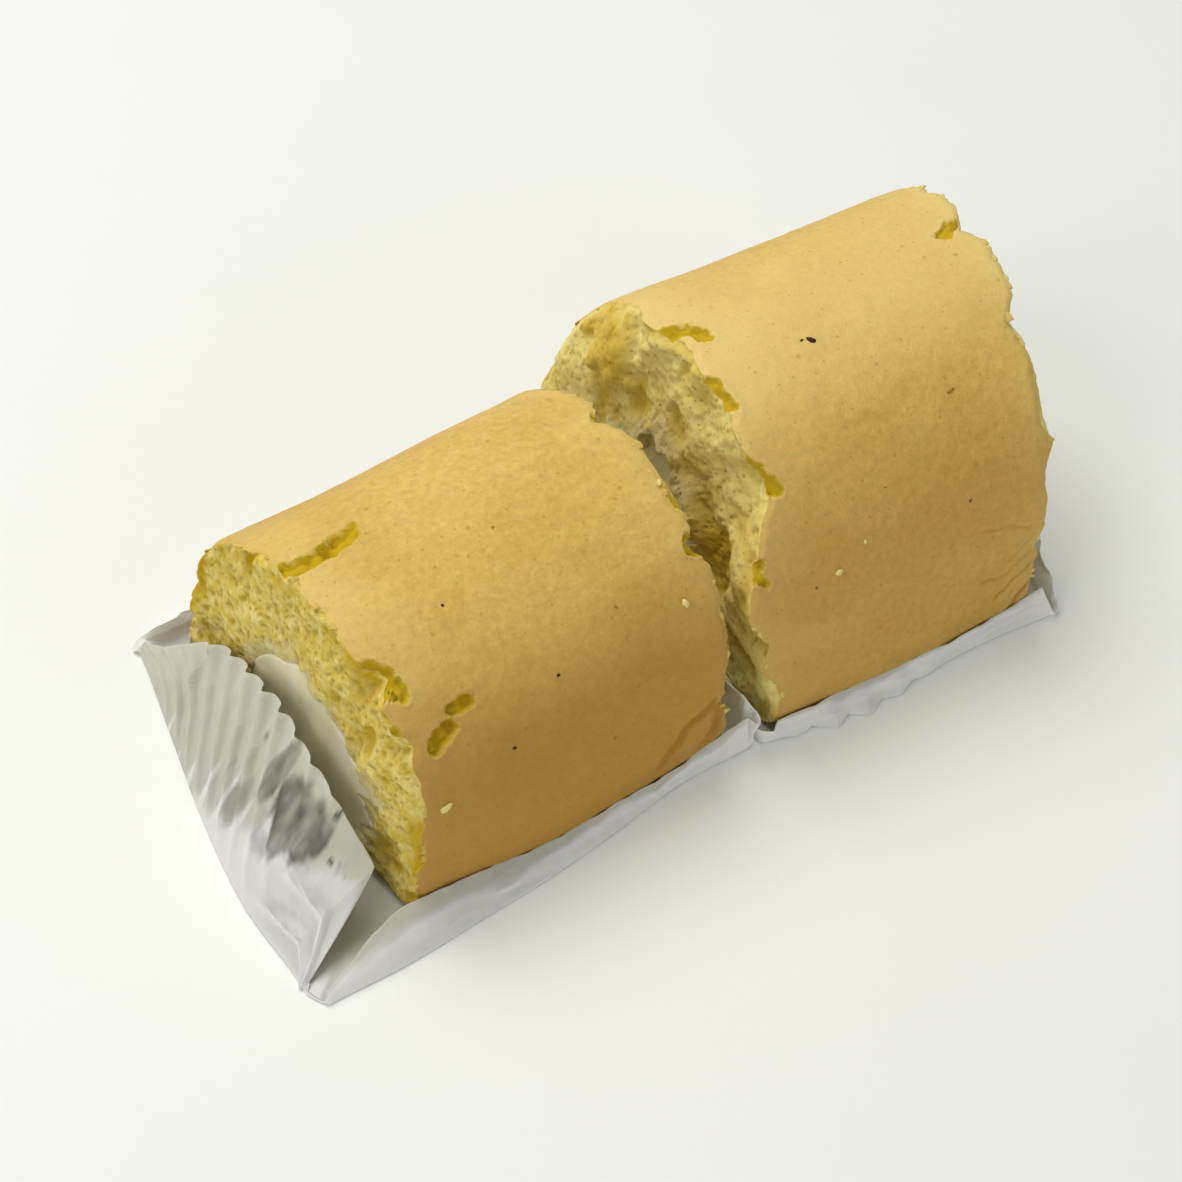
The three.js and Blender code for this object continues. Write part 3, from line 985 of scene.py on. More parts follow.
@dataclass(frozen=True)
class SpongeFinish:
    """Golden matte skin, with pale yellow crumb where the mesh says it is cut or torn."""

    skin: Colour = (0.710, 0.487, 0.128)
    skin_patch: Colour = (0.640, 0.412, 0.090)
    skin_pale_and_highlight: Colour = (0.790, 0.600, 0.215)
    skin_pore: Colour = (0.300, 0.160, 0.030)
    skin_dent: Colour = (0.360, 0.220, 0.020)
    browned: Colour = (0.430, 0.212, 0.028)
    burnt: Colour = (0.050, 0.024, 0.012)
    crumb: Colour = (0.700, 0.520, 0.082)
    # crumb_pale_and_painted_light is the paler crumb of the patches and loose crumbs, and painted light on
    # crumb that lies in shade.
    crumb_pale_and_painted_light: Colour = (0.825, 0.700, 0.265)
    # pit is painted shade in the crumb's pores and holes.
    pit: Colour = (0.380, 0.255, 0.018)
    torn: Colour = (0.545, 0.358, 0.002)
    soaked: Colour = (0.640, 0.570, 0.330)
    dent_tint: float = 0.4
    pore_tint: float = 0.35
    burnt_tint: float = 0.85
    hole_shade_tint: float = 0.55
    soaked_tint: float = 0.7
    roughness: float = 0.58
    crumb_roughness: float = 0.34
    shine: float = 0.16
    relief: float = 0.24
    skin_relief: float = 0.8
    crumb_relief_loss: float = 0.2
    hole_relief: float = 0.5
    softness: float = 0.22
    soft_tint: Colour = (1.0, 0.55, 0.18)
    soft_depth: float = 1.2

    def material(self, palette: Palette) -> bpy.types.Material:
        """The sponge's material.

        Args:
            palette: the shared shader groups.

        Returns:
            The material. It reads the sponge's masks.
        """
        material, n, shader = palette.start("sponge")
        place = n.place()
        cut = n.mask("crumb")
        holes = palette.use(n, palette.specks, Place=place, Spacing=1.2, Size=0.28, Share=0.6)
        skin, crumb = self.skin_tone(palette, n, place), self.crumb_tone(palette, n, place, holes)
        n.put(shader.inputs["Base Color"], n.blend(cut, skin, crumb))
        rougher = n.sum("MULTIPLY", cut, self.crumb_roughness)
        n.put(shader.inputs["Roughness"], n.sum("ADD", self.roughness, rougher))
        fine = palette.use(n, palette.grain, Place=place, Coarse_Size=1.5, Fine_Size=0.5, Fine_Share=0.4)
        sunk = n.sum("MULTIPLY", n.sum("MULTIPLY", holes, cut), self.hole_relief)
        height = n.sum("SUBTRACT", fine, sunk)
        strength = n.sum("SUBTRACT", self.skin_relief, n.sum("MULTIPLY", cut, self.crumb_relief_loss))
        level = n.sum("MULTIPLY", height, strength)
        n.put(shader.inputs["Normal"], palette.bump(n, level, self.relief))
        shader.inputs["Specular IOR Level"].default_value = self.shine
        palette.soften(shader, self.softness, self.soft_tint, self.soft_depth)
        return material

    def skin_tone(self, palette: Palette, n: Nodes, place: bpy.types.NodeSocket) -> bpy.types.NodeSocket:
        """Colour of the skin: soft patches, a paler top that is partly a painted highlight, a darker foot
        that is partly painted shade, pin pores and a few burnt specks.

        Args:
            palette: the shared shader groups.
            n: the material's wiring.
            place: the place on the piece.

        Returns:
            The colour.
        """
        ground = palette.use(
            n, palette.mottle, Place=place, Ground=self.skin, Patch=self.skin_patch,
            Patch_Size=13.0, Patch_Strength=0.75, Grain_Size=1.3, Grain_Strength=0.30,
        )
        pores = palette.use(n, palette.specks, Place=place, Spacing=1.2, Size=0.20, Share=0.4)
        dents = palette.use(n, palette.specks, Place=place, Spacing=3.2, Size=0.12, Share=0.4)
        burnt = palette.use(n, palette.specks, Place=place, Spacing=6.0, Size=0.05, Share=0.35)
        # The pale mask lightens the skin near the cuts, and its top partly as a painted highlight.
        paled = n.blend(n.mask("pale"), ground, self.skin_pale_and_highlight)
        # The brown mask holds the browned creases and specks, and the darker foot, which is partly painted
        # shade.
        browned = n.blend(n.mask("brown"), paled, self.browned)
        dented = n.blend(n.sum("MULTIPLY", dents, self.dent_tint), browned, self.skin_dent)
        pored = n.blend(n.sum("MULTIPLY", pores, self.pore_tint), dented, self.skin_pore)
        black = n.sum("MAXIMUM", n.sum("MULTIPLY", burnt, self.burnt_tint), n.mask("burnt"))
        return n.blend(black, pored, self.burnt)

    def crumb_tone(
        self, palette: Palette, n: Nodes, place: bpy.types.NodeSocket, holes: bpy.types.NodeSocket
    ) -> bpy.types.NodeSocket:
        """Colour of the crumb: pale walls, painted shade in the pores, mustard tears and cream-soaked
        inside.

        Args:
            palette: the shared shader groups.
            n: the material's wiring.
            place: the place on the piece.
            holes: mask of the fine holes.

        Returns:
            The colour.
        """
        ground = palette.use(
            n, palette.mottle, Place=place, Ground=self.crumb, Patch=self.crumb_pale_and_painted_light,
            Patch_Size=2.0, Patch_Strength=0.9, Grain_Size=0.6, Grain_Strength=0.32,
        )
        # The pale mask lightens loose crumbs, and as painted light the crumb that lies in shade.
        walls = n.blend(n.mask("pale"), ground, self.crumb_pale_and_painted_light)
        # Pores and holes take the pit colour as painted shade.
        pits = n.sum("MAXIMUM", n.sum("MULTIPLY", holes, self.hole_shade_tint), n.mask("pit"))
        pitted = n.blend(pits, walls, self.pit)
        soaked = n.blend(n.sum("MULTIPLY", n.mask("soaked"), self.soaked_tint), pitted, self.soaked)
        return n.blend(n.mask("torn"), soaked, self.torn)


@dataclass(frozen=True)
class CreamFinish:
    """Greyish ivory cream, smeared by the knife."""

    cream: Colour = (0.860, 0.800, 0.520)
    streak: Colour = (0.920, 0.880, 0.680)
    shade: Colour = (0.740, 0.640, 0.360)
    # smeared is the mustard of crumb in the hollows, partly painted shade.
    smeared: Colour = (0.600, 0.400, 0.060)
    roughness: float = 0.5
    shine: float = 0.4
    relief: float = 0.12
    softness: float = 0.25
    soft_tint: Colour = (1.0, 0.8, 0.5)
    soft_depth: float = 1.5

    def material(self, palette: Palette) -> bpy.types.Material:
        """The cream's material.

        Args:
            palette: the shared shader groups.

        Returns:
            The material. It reads the masks streak and smear.
        """
        material, n, shader = palette.start("cream")
        place = n.place()
        body = palette.use(
            n, palette.mottle, Place=place, Ground=self.cream, Patch=self.shade,
            Patch_Size=7.0, Patch_Strength=0.4, Grain_Size=0.8, Grain_Strength=0.08,
        )
        streaked = n.blend(n.mask("streak"), body, self.streak)
        n.put(shader.inputs["Base Color"], n.blend(n.mask("smear"), streaked, self.smeared))
        fine = palette.use(n, palette.grain, Place=place, Coarse_Size=2.5, Fine_Size=0.7, Fine_Share=0.35)
        n.put(shader.inputs["Normal"], palette.bump(n, fine, self.relief))
        shader.inputs["Roughness"].default_value = self.roughness
        shader.inputs["Specular IOR Level"].default_value = self.shine
        palette.soften(shader, self.softness, self.soft_tint, self.soft_depth)
        return material


@dataclass(frozen=True)
class PaperFinish:
    """Thin white case paper, grey where fat has soaked it."""

    paper: Colour = (0.930, 0.935, 0.895)
    shade: Colour = (0.840, 0.840, 0.800)
    damp: Colour = (0.520, 0.505, 0.410)
    stain: Colour = (0.110, 0.098, 0.086)
    roughness: float = 0.62
    stain_gloss: float = 0.25
    shine: float = 0.35
    relief: float = 0.10
    softness: float = 0.5
    soft_tint: Colour = (1.0, 1.0, 0.9)
    soft_depth: float = 0.6

    def material(self, palette: Palette) -> bpy.types.Material:
        """The paper's material.

        Args:
            palette: the shared shader groups.

        Returns:
            The material. It reads the masks damp and stain.
        """
        material, n, shader = palette.start("paper")
        place = n.place()
        sheet = palette.use(
            n, palette.mottle, Place=place, Ground=self.paper, Patch=self.shade,
            Patch_Size=10.0, Patch_Strength=0.5, Grain_Size=0.9, Grain_Strength=0.05,
        )
        damped = n.blend(n.mask("damp"), sheet, self.damp)
        n.put(shader.inputs["Base Color"], n.blend(n.mask("stain"), damped, self.stain))
        fibre = palette.use(n, palette.grain, Place=place, Coarse_Size=3.0, Fine_Size=0.5, Fine_Share=0.3)
        n.put(shader.inputs["Normal"], palette.bump(n, fibre, self.relief))
        glossier = n.sum("MULTIPLY", n.mask("stain"), self.stain_gloss)
        n.put(shader.inputs["Roughness"], n.sum("SUBTRACT", self.roughness, glossier))
        shader.inputs["Specular IOR Level"].default_value = self.shine
        palette.soften(shader, self.softness, self.soft_tint, self.soft_depth)
        return material


@dataclass(frozen=True)
class FloorFinish:
    """A plain pale floor."""

    ground: Colour = (0.87, 0.89, 0.84)
    patch: Colour = (0.85, 0.87, 0.82)
    roughness: float = 0.55

    def material(self, palette: Palette) -> bpy.types.Material:
        """The floor's material.

        Args:
            palette: the shared shader groups.

        Returns:
            The material.
        """
        material, n, shader = palette.start("floor")
        tone = palette.use(
            n, palette.mottle, Place=n.place(), Ground=self.ground, Patch=self.patch,
            Patch_Size=60.0, Patch_Strength=0.5, Grain_Size=2.0, Grain_Strength=0.01,
        )
        n.put(shader.inputs["Base Color"], tone)
        shader.inputs["Roughness"].default_value = self.roughness
        return material


@dataclass
class SpongeSheet:
    """The sponge of one slice: a thick sheet rolled once round the cream, cut at both ends."""

    slice: Slice
    steps: tuple[int, int, int, int, int] = (24, 20, 20, 260, 26)
    layers: int = 60
    rings: int = 120
    pores: tuple[Pores, ...] = (Pores(1.3, 0.2, 0.3, 0.0, 0.45), Pores(2.6, 0.25, 0.2, 0.05, 0.6))
    pore_deep: float = 0.38
    chip: float = 2.0
    small_chip: float = 0.55

    RINGS_GATHERED = 0.6
    LAYERS_GATHERED = 1.15

    # Chips of the skin's edge, by number round the sheet.
    CHIPS_ROUND = 30.0
    SMALL_CHIPS_ROUND = 140.0
    CHIP_FADE = 0.055

    # Relief of the cut crumb.
    WARP = Lumps(0.5, 1.5)
    GRAIN = Lumps(0.25, 1.7, 3)
    LUMPS = Lumps(1.0, 4.6, 2)
    LUMP_FROM = 0.2
    LUMP_DEEP = 1.1
    # Sunken lumps turn mustard, partly as torn crumb and partly as painted shade.
    LUMP_TORN_AND_SHADE = 0.7
    CRUMB_FADE = 0.06
    SKIN_FADE = 0.05
    DRAG_TALL = 0.8

    # Relief of the skin.
    WAVES = Lumps(0.10, 5.0)
    RIPPLES = Lumps(0.05, 1.8)
    WORN = 0.4
    WORN_WIDE = 0.7

    # Tones of the skin: where it is bare, darker and browner towards the foot, partly as baked browning and
    # partly as painted shade, and pale at the top and the cuts, the top partly as a painted highlight.
    EDGE_CRUMB = 0.75
    EDGE_TORN = 0.7
    TEAR_TORN = 0.95
    TAN_AND_SHADE_OF_HEIGHT = (0.98, 0.52)
    FOOT_TAN_AND_SHADE = 0.2
    FOOT_HEIGHTS = (9.0, 4.0)
    PALE_AND_HIGHLIGHT_HEIGHTS = (43.0, 51.0)
    PALE_MOST = 0.8
    CUT_PALE = 0.4
    LEFT_PALE_WIDE = 8.0
    RIGHT_PALE = 0.6
    RIGHT_PALE_WIDE = 5.0

    # Tones of the crumb: mustard patches under the skin, and cream soaked in at the inner edge.
    RIND_DEEP = 0.17
    RIND_PATCHES = (24.0, 5.0)
    RIND_EDGE = (-0.1, 0.5)
    SOAKED = (0.74, 1.0)
    SOAKED_RAGGED = Lumps(0.12, 2.5, 2)

    def along(self) -> Array:
        """Shares along the sheet, gathered where the skin shows.

        Returns:
            Rising shares from 0 to 1.
        """
        edges = np.concatenate([[0.0], np.cumsum(Slice.SHARES)])
        parts = [mix(a, b, np.arange(n) / n) for a, b, n in zip(edges[:-1], edges[1:], self.steps)]
        return np.concatenate([*parts, [1.0]])

    def across(self) -> Array:
        """Shares along the slice, gathered at the cuts."""
        even = np.linspace(0.0, 1.0, self.rings + 1)
        return mix(even, 0.5 - 0.5 * np.cos(even * math.pi), self.RINGS_GATHERED)

    def chips(self, cut: Cut, u: Array, v: Number) -> Array:
        """How far the skin is chipped back from a cut.

        Args:
            cut: which end.
            u, v: places along and through the sheet.

        Returns:
            Millimetres inwards.
        """
        seed = self.slice.seed + 11.0 * cut.value
        large = np.maximum(0.0, jagged(u * self.CHIPS_ROUND, seed) - 0.5) * 2.0 * self.chip
        small = np.maximum(0.0, jagged(u * self.SMALL_CHIPS_ROUND, seed + 3.0) - 0.4) * 1.6 * self.small_chip
        return (large + small) * bell(v / self.CHIP_FADE)

    def end(self, cut: Cut, u: Array, v: Number, y: Array, z: Array) -> Array:
        """Place of a cut end along the roll, with its lumps, notches and chipped skin."""
        inward = self.slice.end_crumb(cut, u, v, y, z) + self.chips(cut, u, v)
        return self.slice.end_place(cut, y, z) + cut.inward * inward

    def crumb_relief(self, cut: Cut, v: Array, y: Array, z: Array) -> tuple[Array, Array, Array]:
        """Pores, torn lumps and hollows of a cut end.

        Args:
            cut: which end.
            v: depth in from the skin.
            y, z: places in the section.

        Returns:
            How far the crumb lies in from the cut, and how much of a pit and how torn it is, from 0 to 1.
            The pit share is painted shade in the pores, and the torn share is partly painted shade in sunken
            lumps and hollows.
        """
        form = self.slice
        seed = form.seed + 31.0 * cut.value
        bent_y = y + self.WARP.at(y, z, seed + 2)
        bent_z = z + self.WARP.at(y, z, seed + 3)
        pit = np.maximum(*(pores.pits(bent_y, bent_z, seed + k) for k, pores in enumerate(self.pores)))
        lump = np.maximum(0.0, self.LUMPS.at(y, z, seed + 6) - self.LUMP_FROM) * form.lumps
        depth = self.pore_deep * pit + self.GRAIN.at(y, z, seed + 7) + self.LUMP_DEEP * lump
        torn = self.LUMP_TORN_AND_SHADE * lump
        for hollow in form.hollows:
            if hollow.cut is cut:
                share = hollow.share(y, z)
                depth = depth + hollow.deep * share
                torn = np.maximum(torn, hollow.torn * share)
        inside = ease(0.0, self.CRUMB_FADE, v)
        return depth * inside, form.pore_shade * pit * inside, np.clip(torn, 0.0, 1.0) * inside

    def skin_relief(self, grid: SkinGrid) -> tuple[Array, Array, Array]:
        """Relief of the skin: tears, creases and worn cut edges.

        Args:
            grid: the places of the skin's vertices.

        Returns:
            Height over the plain skin, how torn it is and how browned it is, the last two from 0 to 1.
        """
        form, x, arc = self.slice, grid.x, grid.arc
        height = self.WAVES.at(x, arc, form.seed + 50) + self.RIPPLES.at(x, arc, form.seed + 51)
        torn, brown = np.zeros_like(x), np.zeros_like(x)
        for number, tear in enumerate(form.tears):
            pit, lips, bare = tear.opened(grid, form.seed, number)
            height = height - pit + lips
            torn = np.maximum(torn, bare)
        for number, crease in enumerate(form.creases):
            fold, tint = crease.folded(grid, number)
            height = height + fold
            brown = np.maximum(brown, tint)
        edge = np.minimum(x - x[:, :1], x[:, -1:] - x)
        return height - self.WORN * bell(edge / self.WORN_WIDE), torn, np.clip(brown, 0.0, 1.0)

    def skin(self, body: Body) -> tuple[Array, Array]:
        """Adds the skin's vertices.

        Args:
            body: takes the vertices.

        Returns:
            Their numbers and their height over the plain skin, round the sheet by along the slice.
        """
        form = self.slice
        u, t = np.meshgrid(self.along(), self.across(), indexing="ij")
        y, z = form.surface(u, 0.0, t)
        x = mix(self.end(Cut.LEFT, u, 0.0, y, z), self.end(Cut.RIGHT, u, 0.0, y, z), t)
        steps = np.hypot(np.diff(y[:, 0]), np.diff(z[:, 0]))
        arc = np.broadcast_to(np.concatenate([[0.0], np.cumsum(steps)])[:, None], u.shape)
        relief, torn, brown = self.skin_relief(SkinGrid(u, t, x, arc, form.plain_x(y, z, t)))
        y, z = form.surface(u, 0.0, t, relief)
        at_edge = (t == 0.0) | (t == 1.0)
        right_pale = self.RIGHT_PALE * bell((x[:, -1:] - x) / self.RIGHT_PALE_WIDE)
        near_cut = self.CUT_PALE * (bell((x - x[:, :1]) / self.LEFT_PALE_WIDE) + right_pale)
        # Darker and browner towards the foot: partly baked browning, partly painted shade on the lower skin.
        darkening_from, darkening_full = (share * form.height for share in self.TAN_AND_SHADE_OF_HEIGHT)
        tan_and_shade_share = form.tan * ease(darkening_from, darkening_full, z) + self.FOOT_TAN_AND_SHADE * ease(*self.FOOT_HEIGHTS, z)
        numbers = body.add(
            form.in_row(np.stack([x, y, z], -1)),
            crumb=np.maximum(torn, self.EDGE_CRUMB * at_edge),
            torn=np.maximum(self.TEAR_TORN * torn, self.EDGE_TORN * at_edge),
            brown=np.maximum(brown, tan_and_shade_share),
            # Paler near the cuts, and paler at the top partly as a painted highlight.
            pale=np.clip(form.pale * ease(*self.PALE_AND_HIGHLIGHT_HEIGHTS, z) + near_cut, 0.0, self.PALE_MOST),
        )
        return numbers, relief

    def face(self, body: Body, cut: Cut, skin: Array, skin_relief: Array) -> Array:
        """Adds a cut end inside the skin's edge.

        Args:
            body: takes the vertices and faces.
            cut: which end.
            skin: the skin's vertex numbers.
            skin_relief: their height over the plain skin.

        Returns:
            The end's vertex numbers, round the sheet by from the skin to the cream.
        """
        form = self.slice
        depths = np.linspace(0.0, 1.0, self.layers + 1)[1:] ** self.LAYERS_GATHERED
        u, share = np.meshgrid(self.along(), depths, indexing="ij")
        v = share * form.inner(cut, u)
        edge_relief = skin_relief[:, -cut.value][:, None] * bell(v / self.SKIN_FADE)
        y, z = form.surface(u, v, float(cut.value), edge_relief)
        relief, pit, torn = self.crumb_relief(cut, v, y, z)
        x = self.end(cut, u, v, y, z) + cut.inward * (relief - self.DRAG_TALL * ease(1.0, 1.2, v))
        patches_u, patches_v = self.RIND_PATCHES
        patches = layered(u * patches_u, v * patches_v, form.seed + 80 + cut.value, 3)
        near_skin = bell(v / self.RIND_DEEP) * ease(*self.RIND_EDGE, patches)
        inner = body.add(
            form.in_row(np.stack([x, y, z], -1)),
            crumb=1.0,
            # Painted light on crumb that lies in shade.
            pale=form.crumb_pale_and_painted_light,
            pit=pit,
            torn=np.clip(form.rind * near_skin + torn, 0.0, 1.0),
            soaked=ease(*self.SOAKED, share + self.SOAKED_RAGGED.at(y, z, form.seed + 90)),
        )
        whole = np.concatenate([skin[:, -cut.value][:, None], inner], 1)
        body.quads(whole if cut is Cut.LEFT else whole[:, ::-1])
        return whole

    def build(self, material: bpy.types.Material) -> bpy.types.Object:
        """Makes the sponge's mesh.

        Args:
            material: the sponge's finish.

        Returns:
            The piece.
        """
        body = Body(*SPONGE_MASKS)
        skin, relief = self.skin(body)
        body.quads(skin[:, ::-1])
        left, right = (self.face(body, cut, skin, relief) for cut in Cut)
        body.quads(np.stack([left[:, -1], right[:, -1]], 1))
        for row, way in ((0, 1), (-1, -1)):
            rim = np.concatenate([skin[row], right[row, 1:], left[row, :0:-1]])
            body.polygons(rim[::way])
        name = self.slice.name
        return body.piece(f"sponge_sheet_{name}", material, "sponge", (f"sponge_{name}",))


@dataclass
class CreamCore:
    """The cream of one slice, from cut to cut, smeared at both ends."""

    slice: Slice
    sides: int = 190
    rings: int = 44
    span: tuple[float, float] = (0.05, 0.985)
    overlap: float = 0.25
    sunk: float = 0.4
    smear_deep: float = 0.12
    smear_size: tuple[float, float] = (2.6, 15.0)
    smear_bend: Lumps = Lumps(0.25, 6.0)
    dab_deep: float = 0.3
    dab_size: tuple[float, float] = (5.0, 7.0)
    streaks: float = 0.6

    SLACK = 0.001

    def end(self, body: Body, cut: Cut) -> Array:
        """Adds the cream's face at a cut.

        Args:
            body: takes the vertices and faces.
            cut: which end.

        Returns:
            The numbers of its rim's vertices, the first one repeated at the end.
        """
        form = self.slice
        lap = self.overlap / form.sheet
        half = form.width / 2 - (1.0 - lap) * form.sheet
        u = np.linspace(*self.span, self.sides)
        u = u[np.abs(form.section(u, 1.0 - lap)[0]) < half + self.SLACK]
        rim_y, rim_z = form.section(u, np.minimum(form.inner(cut, u), 1.0) - lap)
        middle_z = mix(form.floor + form.base, form.height - form.sheet, 0.5)
        out = np.linspace(0.0, 1.0, self.rings + 1)[:, None]
        y, z = form.lean(out * rim_y, mix(middle_z, rim_z, out), 1.0, float(cut.value))
        seed = form.seed + 13.0 * cut.value
        bend = self.smear_bend.at(y, z, seed)
        smear = layered(y / self.smear_size[0] + bend, z / self.smear_size[1], seed + 4, 3)
        dabs = uneven(y / self.dab_size[0], z / self.dab_size[1], seed + 8)
        sunk = self.sunk + form.covered(cut) + self.smear_deep * smear + self.dab_deep * dabs
        smeared = np.zeros_like(y)
        for hollow in form.hollows:
            if hollow.cut is cut:
                share = hollow.share(y, z)
                sunk = sunk + max(hollow.deep, 0.0) * share
                # The cream takes a mustard smear in hollows, standing for crumb and partly for painted shade
                # there.
                smeared = np.maximum(smeared, hollow.torn * share)
        x = form.end_place(cut, y, z) + cut.inward * sunk
        points = form.in_row(np.stack([x, y, z], -1))
        rings = body.add(points, streak=self.streaks * ease(0.0, 1.0, smear), smear=smeared)
        looped = np.concatenate([rings, rings[:, :1]], 1)
        body.quads(looped if cut is Cut.LEFT else looped[:, ::-1])
        return looped[-1]

    def build(self, material: bpy.types.Material) -> bpy.types.Object:
        """Makes the cream's mesh.

        Args:
            material: the cream's finish.

        Returns:
            The piece.
        """
        body = Body("streak", "smear")
        body.quads(np.stack([self.end(body, cut) for cut in Cut], 0))
        name = self.slice.name
        return body.piece(f"cream_core_{name}", material, "cream", (f"cream_{name}",))


@dataclass(frozen=True)
class WallForm:
    """A case's wall: evenly spaced values along it, and its flutes.

    rise is how high the wall is, lean how far it leans in and depth how deep its flutes are. scallop is how
    far its rim waves and bow how far its fold bows out. damp is the share of its height above which fat has
    soaked it, and pleat how far its foot zigzags. shear is how far along the wall its flutes slant from rim
    to fold, and tip where the rim starts to drop to the last corner.
    """

    rise: tuple[float, ...]
    lean: tuple[float, ...]
    depth: tuple[float, ...]
    scallop: float
    bow: tuple[float, ...] = (0.0, 0.0)
    damp: tuple[float, ...] = (0.75, 0.75)
    pleat: tuple[float, ...] = (0.0, 0.0)
    flutes: int = 13
    shear: float = 0.0
    tip: float = 1.0


@dataclass(frozen=True)
class Stain:
    """A soaked patch on a wall, at shares along it and up it."""

    wall: Wall
    along: float
    up: float
    wide: float
    tall: float
    strength: float

    RIM = (1.12, 0.78)
    RAGGED = 0.45
    TONE = 0.8
    BLOTS = 0.35

    def share(self, along: Array, up: float, ragged: Array, blots: Array) -> Array:
        """How stained the paper is at a height of the wall.

        Args:
            along: shares along the wall.
            up: share of the height.
            ragged, blots: unevenness of the stain's rim and of its tone there.

        Returns:
            Strengths, one for each share.
        """
        far = np.hypot((along - self.along) / self.wide, (up - self.up) / self.tall)
        inside = ease(*self.RIM, far * (1.0 + self.RAGGED * ragged))
        return self.strength * inside * (self.TONE + self.BLOTS * blots)


